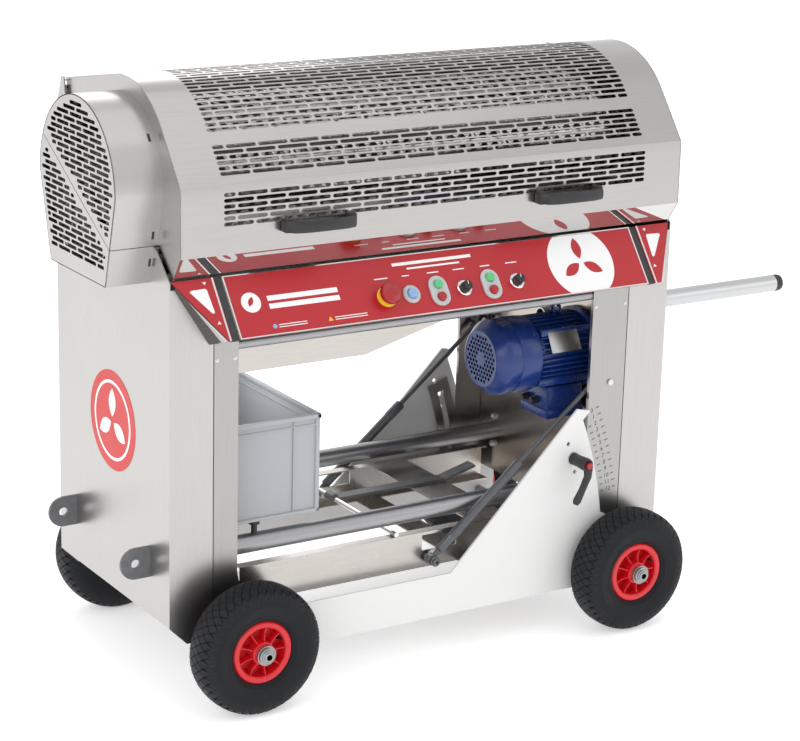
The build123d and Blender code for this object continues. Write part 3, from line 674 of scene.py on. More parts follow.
def rectangle(width: float, height: float, center: Point2 = (0.0, 0.0)) -> list[Point2]:
    """Outline of a rectangle.

    Args:
        width: Size along u.
        height: Size along v.
        center: Middle of the rectangle.

    Returns:
        The four corners, anticlockwise.
    """
    u, v = center
    return [(u - width / 2, v - height / 2), (u + width / 2, v - height / 2),
            (u + width / 2, v + height / 2), (u - width / 2, v + height / 2)]


def spun(center: Point3, angle: float) -> Matrix:
    """Matrix that turns about x by an angle in radians and then moves to a centre."""
    return Matrix.Translation(center) @ Matrix.Rotation(angle, 4, "X")


@dataclass(frozen=True)
class Spindle:
    """Cylindrical coordinates round an axis."""

    center: Vector
    along: Vector
    side: Vector

    @classmethod
    def on(cls, center: Point3, axis: Point3) -> "Spindle":
        """Spindle on an axis, with any direction as its zero angle."""
        along = Vector(axis).normalized()
        return cls(Vector(center), along, along.orthogonal().normalized())

    def at(self, radius: float, angle: float, distance: float) -> Vector:
        """Point at a radius, an angle in radians and a distance along the axis."""
        across = self.side * math.cos(angle) + self.along.cross(self.side) * math.sin(angle)
        return self.center + self.along * distance + across * radius


def leaf(length: float, width: float, turn: float, steps: int = 8) -> list[Point2]:
    """Outline of a plain pointed leaf that starts near the origin.

    Args:
        length: Length of the leaf.
        width: Largest width.
        turn: Direction in degrees.
        steps: Points along each side.

    Returns:
        The closed outline.
    """
    c, s = math.cos(math.radians(turn)), math.sin(math.radians(turn))
    side = [(length * (0.12 + 0.88 * i / steps), width / 2 * math.sin(math.pi * i / steps) ** 0.8)
            for i in range(steps + 1)]
    points = side + [(u, -v) for u, v in reversed(side[1:-1])]
    return [(u * c - v * s, u * s + v * c) for u, v in points]


# ---- hood and end guard ------------------------------------------------------------------
@dataclass
class Hood:
    """Perforated hood: folded skin, end plates, seams and bow handles."""

    left: float = -143.0
    right: float = 991.0
    slots_from: float = -57.0
    pitch: float = 66.5
    short: float = 28.5
    columns: int = 29
    gap: float = 4.4
    slot_width: float = 7.4
    thick: float = 1.8
    arc_r: float = 195.0
    hinge: Point2 = (208.0, 1149.5)
    grip_z: float = 942.0
    crown_z: float = 1190.0
    lip_z: float = 896.0

    def profile(self) -> list[Point2]:
        """Work out the section of the skin.

        Returns:
            (y, z) points from the lip to the hinge, one per fold or edge of a slot row.
        """
        facet, fall = math.radians(36.6), math.radians(11.3)
        cy, cz = DRUM_CENTER
        start = (cy - self.arc_r * math.cos(facet), cz + self.arc_r * math.sin(facet))
        points: list[Point2] = [(-249.0, 857.0), (-252.4, 862.0), (-272.6, 892.0), (-276.0, 897.0),
                                (-275.9, 906.0)]
        points += self._rows((-275.5, 948.0), (-275.0, 1013.5), 6)
        points += [(-274.0, 1025.0)]
        points += self._rows((-263.2, 1039.3), (-223.8, 1090.7), 6)
        points += [(start[0] - 6.9, start[1] - 9.0), start]
        spread = (math.pi / 2 - facet) + fall
        rows = 19
        for i in range(1, rows + 1):
            a = facet + spread * i / rows
            points.append((cy - self.arc_r * math.cos(a), cz + self.arc_r * math.sin(a)))
        end = points[-1]
        run = (204.0 - end[0], 1151.0 - end[1])
        return points + [(end[0] + run[0] * t, end[1] + run[1] * t)
                         for t in (*(i / 18 for i in range(1, 13)), 0.72, 0.86, 1.0)]

    @staticmethod
    def _rows(low: Point2, high: Point2, rows: int) -> list[Point2]:
        """Space slot rows evenly between two points.

        Args:
            low: Lower point.
            high: Upper point.
            rows: Number of rows.

        Returns:
            The edges of the rows, both ends included.
        """
        return [(low[0] + (high[0] - low[0]) * i / rows, low[1] + (high[1] - low[1]) * i / rows)
                for i in range(rows + 1)]

    def skin(self) -> None:
        """Build the folded sheet with every slot cut through."""
        shape = Shape()
        points = self.profile()
        slotted = {i: (i - first) % 2 for first, last in ((5, 11), (13, 19), (20, len(points) - 4))
                   for i in range(first, last)}
        edges = [self.slots_from + self.pitch * (i // 2) + self.short * (i % 2)
                 for i in range(self.columns + 1)]
        xs = [self.left, (self.left + edges[0]) / 2, *edges, (edges[-1] + self.right) / 2, self.right]
        grid = [[shape.bm.verts.new((x, y, z)) for x in xs] for y, z in points]
        for row in range(len(points) - 1):
            low, high = grid[row], grid[row + 1]
            if row not in slotted:
                for i in range(len(xs) - 1):
                    shape.bm.faces.new((low[i], low[i + 1], high[i + 1], high[i]))
                continue
            for i in (0, 1, len(xs) - 3, len(xs) - 2):
                shape.bm.faces.new((low[i], low[i + 1], high[i + 1], high[i]))
            column = 2
            while column < len(xs) - 3:
                wide = 1 if (slotted[row] and column == 2) or column == len(xs) - 4 else 2
                self._cell(shape, low[column:column + wide + 1], high[column:column + wide + 1])
                column += wide
        geometry = shape.bm.faces[:]
        bmesh.ops.recalc_face_normals(shape.bm, faces=geometry)
        up = next(f for f in geometry if f.calc_center_median().z > self.crown_z)
        if up.normal.z < 0:
            bmesh.ops.reverse_faces(shape.bm, faces=geometry)
        bmesh.ops.solidify(shape.bm, geom=geometry, thickness=self.thick)
        for face in shape.bm.faces:
            face.material_index = int(face.calc_center_median().z < self.lip_z)
        shape.bar((self.left, *self.hinge), (self.right, *self.hinge), 4.8)
        shape.piece("hood_skin", STEEL, "hood", ["hood_shell"], extra=[LIP_MIRROR])

    def _cell(self, shape: Shape, low: Sequence[bmesh.types.BMVert],
              high: Sequence[bmesh.types.BMVert]) -> None:
        """Frame one slot with faces that share its round-ended outline.

        Args:
            shape: Shape that they go into.
            low: Vertices of the cell's lower edge.
            high: Vertices of its upper edge, in the same order.
        """
        a, b, c = low[0].co, low[-1].co, high[0].co
        width = (b - a).length
        rise = c - a
        pitch = rise.length
        inner = stadium(width / 2, pitch / 2, width - self.gap, min(self.slot_width, pitch - 3.2))
        along = (b - a).normalized()
        across = rise.normalized()
        ring = [shape.bm.verts.new(a + along * u + across * v) for u, v in inner]
        n = len(ring)
        quarter = n // 4
        right_mid, left_mid = quarter - 1, n // 2 + quarter - 1
        upper = ring[right_mid:left_mid + 1]
        lower = ring[left_mid:] + ring[:right_mid + 1]
        shape.bm.faces.new([*low, *reversed(lower)])
        shape.bm.faces.new([*reversed(high), *reversed(upper)])
        shape.bm.faces.new((low[-1], high[-1], upper[0]))
        shape.bm.faces.new((high[0], low[0], lower[0]))

    def end_plates(self) -> None:
        """Close both ends, the left one round the drum's opening."""
        below = [(207.0, 1149.0), (207.0, 1132.0), SEAM[1], SEAM[0], (-247.0, 852.5)]
        outline = self.profile() + below
        shape = Shape()
        hole = circle(156.0, 64, DRUM_CENTER)
        self._ring_plate(shape, outline, hole, self.left + 1.0)
        shape.punched(outline, [], yz_at(self.right - 1.0), self.thick)
        shape.piece("hood_ends", STEEL_UP, "hood")

    def _ring_plate(self, shape: Shape, outline: list[Point2], hole: list[Point2], x: float) -> None:
        """Add a plate whose round opening runs out through the seam at the bottom.

        Args:
            shape: Shape that it goes into.
            outline: Outline of the plate in (y, z), with the two seam points last but one.
            hole: Outline of the opening.
            x: Place of the plate along the machine.
        """
        start, end = SEAM
        length = math.dist(start, end)
        normal = (-(end[1] - start[1]) / length, (end[0] - start[0]) / length)
        kept = [h for h in hole
                if (h[0] - start[0]) * normal[0] + (h[1] - start[1]) * normal[1] > 0.5]
        first = max(range(len(kept)), key=lambda i: math.dist(kept[i], kept[i - 1]))
        arc = kept[first:] + kept[:first]
        if math.dist(arc[0], end) > math.dist(arc[-1], end):
            arc.reverse()
        shape.punched(outline[:-2] + arc + outline[-2:], [], yz_at(x), self.thick)

    def handles(self) -> None:
        """Two bow handles, each swept over a rounded rectangle."""
        for side, middle in (("left", 138.0), ("right", 706.0)):
            shape = Shape()
            path = [(-66, -279.0), (-69, -294.0), (-62, -307.0), (-44, -312.0), (0, -313.0),
                    (44, -312.0), (62, -307.0), (69, -294.0), (66, -279.0)]
            rings = []
            for i, (x, y) in enumerate(path):
                before, after = path[max(i - 1, 0)], path[min(i + 1, len(path) - 1)]
                way = Vector((after[0] - before[0], after[1] - before[1], 0)).normalized()
                out = Vector((-way.y, way.x, 0))
                ring = []
                for c, s in circle(1.0, 20):
                    squared = max(abs(c), abs(s)) ** 0.7
                    ring.append(Vector((middle + x, y, self.grip_z)) + out * (6.5 * c / squared)
                                + Vector((0, 0, 11.0 * s / squared)))
                rings.append(ring)
            shape.loft(rings)
            for s in (-1, 1):
                x = middle + s * 68
                shape.block((x - 8, -298.0, self.grip_z - 12.5),
                            (x + 8, -276.2, self.grip_z + 12.5), 3.0)
                shape.bar((x + s * 7.8, -287.0, self.grip_z), (x + s * 8.8, -287.0, self.grip_z),
                          3.0, 12, 0.3)
            shape.piece(f"hood_handle_{side}", BLACK, "hood", ["hood_handles"])

    def build(self) -> None:
        """Build every piece of the hood."""
        self.skin()
        self.end_plates()
        self.handles()


@dataclass
class EndGuard:
    """Slotted guard over the drum's open end, in a fixed and a lifting half."""

    face_x: float = -240.0
    center: Point2 = DRUM_CENTER
    radius: float = 165.0
    base: float = 832.0
    foot: float = 120.5
    thick: float = 1.8

    def outline(self, inset: float = 0.0) -> list[Point2]:
        """Draw the guard: a half round over straight tapering sides.

        Args:
            inset: Distance by which the outline shrinks.

        Returns:
            The closed outline in (y, z).
        """
        r = self.radius - inset
        cy, cz = self.center
        base = self.base + inset
        return [(cy - self.foot + inset, base), (cy + self.foot - inset, base),
                *((cy + r * math.cos(math.pi * i / 48), cz + r * math.sin(math.pi * i / 48))
                  for i in range(49))]

    def half(self, upper: bool, inset: float = 0.0) -> list[Point2]:
        """Cut one half of the outline clear of the seam.

        Args:
            upper: Take the half that lifts with the hood.
            inset: Distance by which the half shrinks.

        Returns:
            The closed outline in (y, z).
        """
        p, q = SEAM
        length = math.dist(p, q)
        normal = (-(q[1] - p[1]) / length, (q[0] - p[0]) / length)
        sign = 1.0 if upper else -1.0
        shift = sign * (0.7 + inset)
        point = (p[0] + normal[0] * shift, p[1] + normal[1] * shift)
        return clip(self.outline(inset), point, (normal[0] * sign, normal[1] * sign))

    def slots(self, inside: list[Point2]) -> list[list[Point2]]:
        """Staggered slots, each cut short where it would leave an outline.

        Args:
            inside: Convex outline that the slots stay in.

        Returns:
            The outlines of the slots.
        """
        found = []
        for row in range(28):
            z = self.base + 35 + 10.9 * row
            low = max(self._span(inside, z + d)[0] for d in (-3.6, 3.6))
            high = min(self._span(inside, z + d)[1] for d in (-3.6, 3.6))
            for column in range(-4, 5):
                middle = self.center[0] + 57.0 * (column + (0.5 if row % 2 else 0.0))
                left, right = max(middle - 25.8, low), min(middle + 25.8, high)
                if right - left > 10.5:
                    found.append(stadium((left + right) / 2, z, right - left, 7.2, 4))
        return found

    @staticmethod
    def _span(outline: list[Point2], level: float) -> Point2:
        """Measure an outline at a level.

        Args:
            outline: Closed outline.
            level: Level in the second coordinate.

        Returns:
            Lowest and highest first coordinate, or an empty span.
        """
        cuts = [a[0] + (b[0] - a[0]) * (level - a[1]) / (b[1] - a[1])
                for a, b in zip(outline, [*outline[1:], outline[0]]) if (a[1] > level) != (b[1] > level)]
        return (min(cuts), max(cuts)) if cuts else (0.0, -1.0)

    def build(self) -> None:
        """Build both halves of the guard, each with its face and its band."""
        p, q = SEAM
        for name, body, upper, back, node in (
                ("guard_top", "hood", True, Hood.left, "guard_upper"),
                ("guard_base", "machine_body", False, BODY_END_X, "guard_lower")):
            shape = Shape()
            outline = self.half(upper)
            holes = self.slots(self.half(upper, 10.0))
            shape.punched(outline, holes, yz_at(self.face_x + self.thick / 2), self.thick)
            rim = [w for w in outline if abs((w[0] - p[0]) * (q[1] - p[1])
                                             - (w[1] - p[1]) * (q[0] - p[0])) / math.dist(p, q) > 0.9]
            start = max(range(len(rim)), key=lambda i: math.dist(rim[i], rim[i - 1]))
            ends = [w for w in outline if w not in rim]
            rim = rim[start:] + rim[:start]
            if len(ends) == 2:
                ends.sort(key=lambda w: math.dist(w, rim[0]))
                rim = [ends[0], *rim, ends[1]]
            self._band(shape, rim, back)
            shape.piece(name, STEEL_UP, body, [node])
        self.notches()

    def notches(self) -> None:
        """Dark locking notches along the back edge of the band."""
        lean = math.radians(38.0)
        round_part = (self.center[0] - self.radius * math.cos(lean),
                      self.center[1] + self.radius * math.sin(lean), -lean)
        for name, body, marks in (("guard_top_notches", "hood", (round_part, self._side(926.0))),
                                  ("guard_base_notches", "machine_body", (self._side(872.0),))):
            shape = Shape()
            for y, z, turn in marks:
                shape.block((-7.0, -0.5, -8.0), (-2.0, 1.0, 8.0), 0.4, spun((BODY_END_X, y, z), turn))
            shape.piece(name, BLACK, body)

    def _side(self, z: float) -> Point3:
        """Find the front straight side at a height.

        Args:
            z: Height.

        Returns:
            y, z and the lean of the side in radians.
        """
        cy, cz = self.center
        drop = (cz - z) / (cz - self.base)
        return (cy - self.radius + (self.radius - self.foot) * drop, z,
                math.atan((self.radius - self.foot) / (cz - self.base)))

    def _band(self, shape: Shape, rim: list[Point2], back: float) -> None:
        """Bend the guard's side band along its rim.

        Args:
            shape: Shape that it goes into.
            rim: Outer edge of the band in (y, z).
            back: x of the band's back edge.
        """
        cy, cz = self.center
        inner = []
        for y, z in rim:
            share = self.thick / math.dist((y, z), self.center)
            inner.append((y + (cy - y) * share, z + (cz - z) * share))
        shape.prism([*rim, *reversed(inner)], yz_at(0.0), self.face_x, back)


@dataclass
class TumblerDrum:
    """Perforated drum with hoops at its ends and lifting bars inside."""

    left: float = -228.0
    right: float = 980.0
    radius: float = 149.5
    center: Point2 = DRUM_CENTER
    around: int = 44
    along: int = 46

    def build(self) -> None:
        """Build the drum's shell from cells, each with one six-sided hole."""
        shape = Shape()
        x0, x1 = self.left + 24, self.right - 24
        step = (x1 - x0) / self.along
        turn = math.tau / self.around
        cy, cz = self.center

        def at(x: float, a: float) -> Vector:
            """Point on the drum's surface."""
            return Vector((x, cy + self.radius * math.sin(a), cz + self.radius * math.cos(a)))

        grid = [[shape.bm.verts.new(at(x0 + step * i, turn * k)) for i in range(self.along + 1)]
                for k in range(self.around)]
        for k in range(self.around):
            low, high = grid[k], grid[(k + 1) % self.around]
            for i in range(self.along):
                x, a = x0 + step * (i + 0.5), turn * (k + 0.5)
                hole = [shape.bm.verts.new(at(x + u * 9.6, a + v * 6.2 / self.radius))
                        for u, v in ((1, 0), (0.55, 1), (-0.55, 1), (-1, 0), (-0.55, -1), (0.55, -1))]
                shape.bm.faces.new((high[i], high[i + 1], *hole[:4]))
                shape.bm.faces.new((low[i + 1], low[i], *hole[3:], hole[0]))
                shape.bm.faces.new((low[i + 1], hole[0], high[i + 1]))
                shape.bm.faces.new((high[i], hole[3], low[i]))
        faces = shape.bm.faces[:]
        bmesh.ops.recalc_face_normals(shape.bm, faces=faces)
        bmesh.ops.solidify(shape.bm, geom=faces, thickness=1.6)
        inner, outer = self.radius - 2.2, self.radius + 0.4
        for low, high in ((self.left, x0 + 1), (x1 - 1, self.right)):
            shape.lathe([(inner, low), (inner, high), (outer, high), (outer, low)],
                        (0, cy, cz), (1, 0, 0), 72)
        for k in range(3):
            shape.block((self.left + 60, -3, -self.radius + 1.4),
                        (self.right - 20, 3, -self.radius + 13), 1.0,
                        spun((0, cy, cz), math.tau * k / 3))
        shape.piece("drum_shell", DRUM_STEEL, "drum", ["drum"])


# ---- console ------------------------------------------------------------------------------
@dataclass
class Console:
    """Sloping control console: fascia, wings, trims, plain marks and controls."""

    top: Point2 = (-248.0, 850.0)
    foot: Point2 = (-325.0, 749.0)
    panel: Point2 = (-42.0, 885.0)
    emblem: Point2 = (744.0, 63.0)
    estop: Point2 = (282.0, 82.0)
    reset: Point2 = (337.0, 83.0)

    def __post_init__(self) -> None:
        """Work out the slope's direction and depth."""
        self.depth = math.dist(self.top, self.foot)
        self.down = Vector((0, self.foot[0] - self.top[0], self.foot[1] - self.top[1])) / self.depth
        self.out = Vector((0, self.down.z, -self.down.y))

    def face(self, x: float = 0.0, s: float = 0.0) -> Place:
        """Place things on the slope: u along x, v up the slope, level outwards.

        Args:
            x: Origin's place along the machine.
            s: Origin's distance down the slope.

        Returns:
            The placement.
        """
        start = Vector((x, *self.top)) + self.down * s
        return lambda u, v, level: tuple(start + Vector((u, 0, 0)) - self.down * v + self.out * level)

    def mark(self, shape: Shape, outline: Sequence[Point2], x: float, s: float,
             level: float = 0.25) -> None:
        """Lay a thin flat mark on the slope."""
        shape.prism(outline, self.face(x, s), 0.02, level)

    def trims(self) -> None:
        """Bright edges of the fascia and of the two wings."""
        shape = Shape()
        d = self.depth
        left, right = self.panel

        def strip(made: Shape, a: float, b: float, top: float, foot: float,
                  low: float, high: float) -> None:
            """Add a flat strip between two x and two distances down the slope."""
            made.prism([(a, -top), (b, -top), (b, -foot), (a, -foot)], self.face(), low, high)

        for a, b in ((left - 3, left), (right, right + 3), (-67.0, -63.5), (906.0, 909.5)):
            strip(shape, a, b, 0, d, -1.9, 0.9)
        strip(shape, left, right, d, d - 2.2, 0.0, 0.8)
        strip(shape, left, right, 0, 2.0, 0.0, 0.8)
        shape.piece("console_trims", POLISHED, "machine_body")
        gaps = Shape()
        for a, b in ((-63.0, left - 3.5), (right + 3.5, 905.5)):
            strip(gaps, a, b, 0, d, -6.0, -1.6)
        gaps.piece("console_gaps", BLACK, "machine_body")
        # Each cheek under a wing takes a near-black finish that paints the shade falling there.
        cheek = Shape()
        for side, top_x, foot_x in ((-1, -148.3, -68.3), (1, 990.3, 921.3)):
            corners = [Vector((top_x, self.top[0] - 0.6, self.top[1] - 2.0)),
                       Vector((foot_x, self.foot[0] + 1.0, self.foot[1] + 0.5)),
                       Vector((foot_x, -247.6, 723.0))]
            across = (corners[1] - corners[0]).cross(corners[2] - corners[0]).normalized()
            across *= 0.7 * side * (1.0 if across.x > 0 else -1.0)
            cheek.loft([corners, [corner + across for corner in corners]])
        cheek.piece("console_cheeks", CHEEK_PAINTED_SHADE, "machine_body")

    def marks(self) -> None:
        """Plain discs, leaves, arrows and blank caption bars."""
        d = self.depth
        white = Shape()
        x, s = self.emblem
        disc = clip(clip(circle(77.0, 72), (0, s - 2.5), (0, -1)), (0, s - d + 2.5), (0, 1))
        self.mark(white, disc, x, s)
        self.mark(white, circle(20.0, 40), -2.0, 58.0)
        for x, s, width, height in (
                (282, 44, 30, 2.2), (337, 44, 16, 2.2), (399, 44, 26, 2.2), (458, 44, 26, 2.2),
                (519, 44, 22, 2.2), (581, 44, 26, 2.2), (405, 19, 180, 6.4), (405, 30, 120, 3.6),
                (108, 54, 150, 10), (108, 70, 150, 10), (70, 108, 60, 1.6), (70, 112.5, 60, 1.6),
                (195, 108, 70, 1.6), (195, 112.5, 70, 1.6)):
            self.mark(white, rectangle(width, height), x, s)
        for sign, edge in ((1, -67.0), (-1, 909.0)):
            for outline in ([(-50, -24), (-47, -21), (-18, -20), (-15, -23), (-12.5, -68),
                             (-15, -70.5), (-18, -69)],
                            [(-20, -7), (-12, -7), (-16, -13)], [(-14, -92), (-6, -92), (-10, -86)]):
                self.mark(white, [(u * sign, v) for u, v in outline], edge, 0.0)
        white.piece("console_white_marks", LABEL_WHITE, "machine_body")
        red = Shape()
        for turn in LEAF_TURNS:
            self.mark(red, leaf(52.0, 22.0, turn), self.emblem[0], self.emblem[1] - 2.0, 0.45)
        self.mark(red, leaf(24.0, 10.0, 60.0), -9.0, 68.0, 0.45)
        red.piece("console_red_leaves", RED_PANEL, "machine_body")
        for name, finish, outline, x in (
                ("console_caution_mark", YELLOW, [(-5, -4), (5, -4), (0, 5)], 150.0),
                ("console_info_dot", BUTTON_BLUE, circle(4.5, 20), 32.0)):
            small = Shape()
            self.mark(small, outline, x, 110.0)
            small.piece(name, finish, "machine_body")

    def turned(self, profile: Sequence[Point2], x: float, s: float) -> Shape:
        """Spin an open profile round the slope's normal at a control's place."""
        return Shape().solid_turn(profile, self.face(x, s)(0, 0, 0), tuple(self.out), 40)

    def ring(self, profile: Sequence[Point2], x: float, s: float) -> Shape:
        """Spin a closed profile round the slope's normal at a control's place."""
        return Shape().lathe(profile, self.face(x, s)(0, 0, 0), tuple(self.out), 48)

    def fluted(self, shape: Shape, place: Place, count: int, radius: float, low: float, high: float,
               thick: float, edge: float) -> None:
        """Add a ring of thin upright bars to a control.

        Args:
            shape: Shape that they go into.
            place: Placement of the control.
            count: Number of bars.
            radius: Distance of the bars from the control's middle.
            low: Level where they start.
            high: Level where they end.
            thick: Radius of a bar.
            edge: Size of its eased ends.
        """
        for u, v in circle(radius, count):
            shape.bar(place(u, v, low), place(u, v, high), thick, 6, edge)

    def controls(self) -> None:
        """Emergency stop, reset, twin push buttons and speed knobs."""
        collar = self.turned([(20.5, 0), (20.5, 1.5), (18.5, 2.2), (18.0, 9.0), (13.5, 9.2)],
                             *self.estop)
        collar.piece("estop_collar", YELLOW, "machine_body", ["control_bezels"])
        head = self.turned([(8, 0), (8, 8), (13, 10.5), (19.5, 12), (21, 15), (21, 21), (19.6, 24.2),
                            (16, 25.8), (9, 26.6)], *self.estop)
        self.fluted(head, self.face(*self.estop), 24, 21.0, 14.5, 21.5, 1.0, 0.3)
        head.piece("estop_head", BUTTON_RED, "estop", ["estop_button"])
        bezel = self.ring([(10.6, 0), (18.5, 0), (18.5, 2.5), (16.5, 4.6), (11.5, 4.6), (10.6, 3.8)],
                          *self.reset)
        bezel.piece("reset_bezel", BEZEL_GREY, "machine_body")
        cap = self.turned([(9.9, -6), (9.9, 8.2), (9.2, 9.4), (6.5, 10.0)], *self.reset)
        cap.piece("reset_cap", BUTTON_BLUE, "reset", ["reset_button"])
        for group, x in (("tumbler", 399.0), ("blades", 519.0)):
            bezel = Shape()
            outer = [(v, u) for u, v in stadium(0, 0, 62, 40, 12)]
            holes = [[(p[0], p[1] + s * 13.0) for p in circle(9.6, 28)] for s in (-1, 1)]
            bezel.punched(outer, holes, self.face(x, 84.0), 8.0)
            bezel.piece(f"{group}_bezel", BEZEL_GREY, "machine_body")
            for kind, s, finish in (("start", 71.0, BUTTON_GREEN), ("stop", 97.0, BUTTON_RED)):
                cap = self.turned([(8.9, -8), (8.9, 8.4), (8.2, 9.6), (5.5, 10.0)], x, s)
                cap.piece(f"{group}_{kind}_cap", finish, f"{group}_{kind}", [f"{group}_{kind}"])
        for group, x in (("tumbler", 458.0), ("blades", 581.0)):
            chrome = self.ring([(11.2, 0), (16.2, 0), (16.2, 1.6), (14.6, 3.2), (11.2, 3.2)], x, 84)
            chrome.piece(f"{group}_knob_ring", POLISHED, "machine_body")
            knob = self.turned([(5.2, -8), (5.2, 4), (10.4, 4.2), (10.4, 7), (9.4, 8), (9.0, 17),
                                (8.2, 18), (5, 18)], x, 84)
            base = self.face(x, 84)
            self.fluted(knob, base, 18, 9.2, 8.5, 16.8, 0.8, 0.2)
            knob.piece(f"{group}_knob", BLACK, f"{group}_speed", [f"{group}_knob"])
            line = Shape().block((-0.7, 1.0, 0), (0.7, 7.5, 0.25), 0.0)
            for vert in line.bm.verts:
                vert.co = Vector(base(vert.co.x, vert.co.y, 18.02 + vert.co.z))
            line.piece(f"{group}_knob_line", LABEL_WHITE, f"{group}_speed")

    def build(self) -> None:
        """Build the console's pieces."""
        self.trims()
        self.marks()
        self.controls()


# ---- body details --------------------------------------------------------------------------
@dataclass
class BodyDetails:
    """Labels, tilt scale and fasteners on the body."""

    label_at: Point2 = (-4.0, 520.0)
    scale_face: float = 247.1

    def label(self) -> None:
        """Round coral label with three plain leaves on the end panel."""
        y, z = self.label_at

        def put(u: float, v: float, level: float) -> Point3:
            """Point on the end panel, with levels outwards."""
            return (BODY_END_X - level, y + u, z + v)

        disc = Shape().prism(circle(100.0, 96), put, 0.05, 0.5)
        disc.piece("end_label", CORAL, "machine_body")
        leaves = Shape()
        for turn in LEAF_TURNS:
            leaves.prism(leaf(64.0, 30.0, turn), put, 0.52, 0.9)
        leaves.piece("end_label_leaves", LABEL_WHITE, "machine_body")
        ring = Shape().lathe([(74, 0), (80, 0), (80, 0.35), (74, 0.35)], put(0, 0, 0.55), (-1, 0, 0), 72)
        ring.piece("end_label_ring", LABEL_WHITE, "machine_body")

    def scale(self) -> None:
        """Tilt scale in degrees beside the round edge of the side plate."""
        shape = Shape()
        for side in SIDES:
            face = side * self.scale_face
            for n in range(13):
                a = math.radians(22.4 - n)
                c, s = math.cos(a), math.sin(a)
                for r0, r1 in ((868.0, 876.0), (898.0, 906.0)):
                    if r0 * c < 813.0 or r1 * c > 897.0:
                        continue
                    turn = (Matrix.Translation((r0 * c, face, AXLE_Z + r0 * s))
                            @ Matrix.Rotation(-a, 4, "Y"))
                    shape.block((0, -0.12, -0.9), (r1 - r0, 0.12, 0.9), 0.0, turn)
                x, z = 887.0 * c, AXLE_Z + 887.0 * s
                shape.text(str(n), 13.0,
                           lambda u, v, w, x=x, z=z, s=side: (x - s * u, face + s * w, z + v))
        shape.piece("tilt_scale", SCALE_INK, "machine_body")

    def fasteners(self) -> None:
        """Bolts at the tube ends, screws in the sheets and black strips that paint the shade in the gaps
        beside the leg covers.
        """
        shape = Shape()
        for y in (-188.0, 188.0):
            for z in (262.0, 326.0):
                shape.solid_turn([(7.5, 0), (7.5, 5), (6.2, 6)], (878.0, y, z), (-1, 0, 0), 6)
                shape.bar((878.0, y, z), (868.0, y, z), 4.0, 16)
        for x in (-120.0, 140.0, 424.0, 708.0, 968.0):
            for z in (860.0, 1060.0):
                shape.solid_turn([(5.0, 0), (5.0, 0.8), (3.4, 2.4), (1.2, 2.8)], (x, BODY_SIDE_Y, z),
                                 (0, 1, 0), 20)
        for x in (-52.0, -14.0, 818.0, 892.0):
            for side in SIDES:
                shape.solid_turn([(4.4, 0), (4.4, 0.7), (3.0, 2.0), (1.0, 2.4)],
                                 (x, side * BODY_SIDE_Y, 690.0), (0, side, 0), 20)
        shape.piece("body_screws", BOLT, "machine_body")
        # Painted shade: black strips set in the gaps between the leg posts and covers, standing in for the
        # shadow there.
        strips = Shape()
        for x, low in ((-59.0, 176.0), (900.0, 194.0)):
            for side in SIDES:
                y = sorted((side * 245.3, side * 246.3))
                strips.block((x - 1.3, y[0], low), (x + 1.3, y[1], 832.0), 0.2)
        strips.piece("leg_gap_painted_shade", BLACK, "machine_body")

    def build(self) -> None:
        """Build every detail."""
        self.label()
        self.scale()
        self.fasteners()


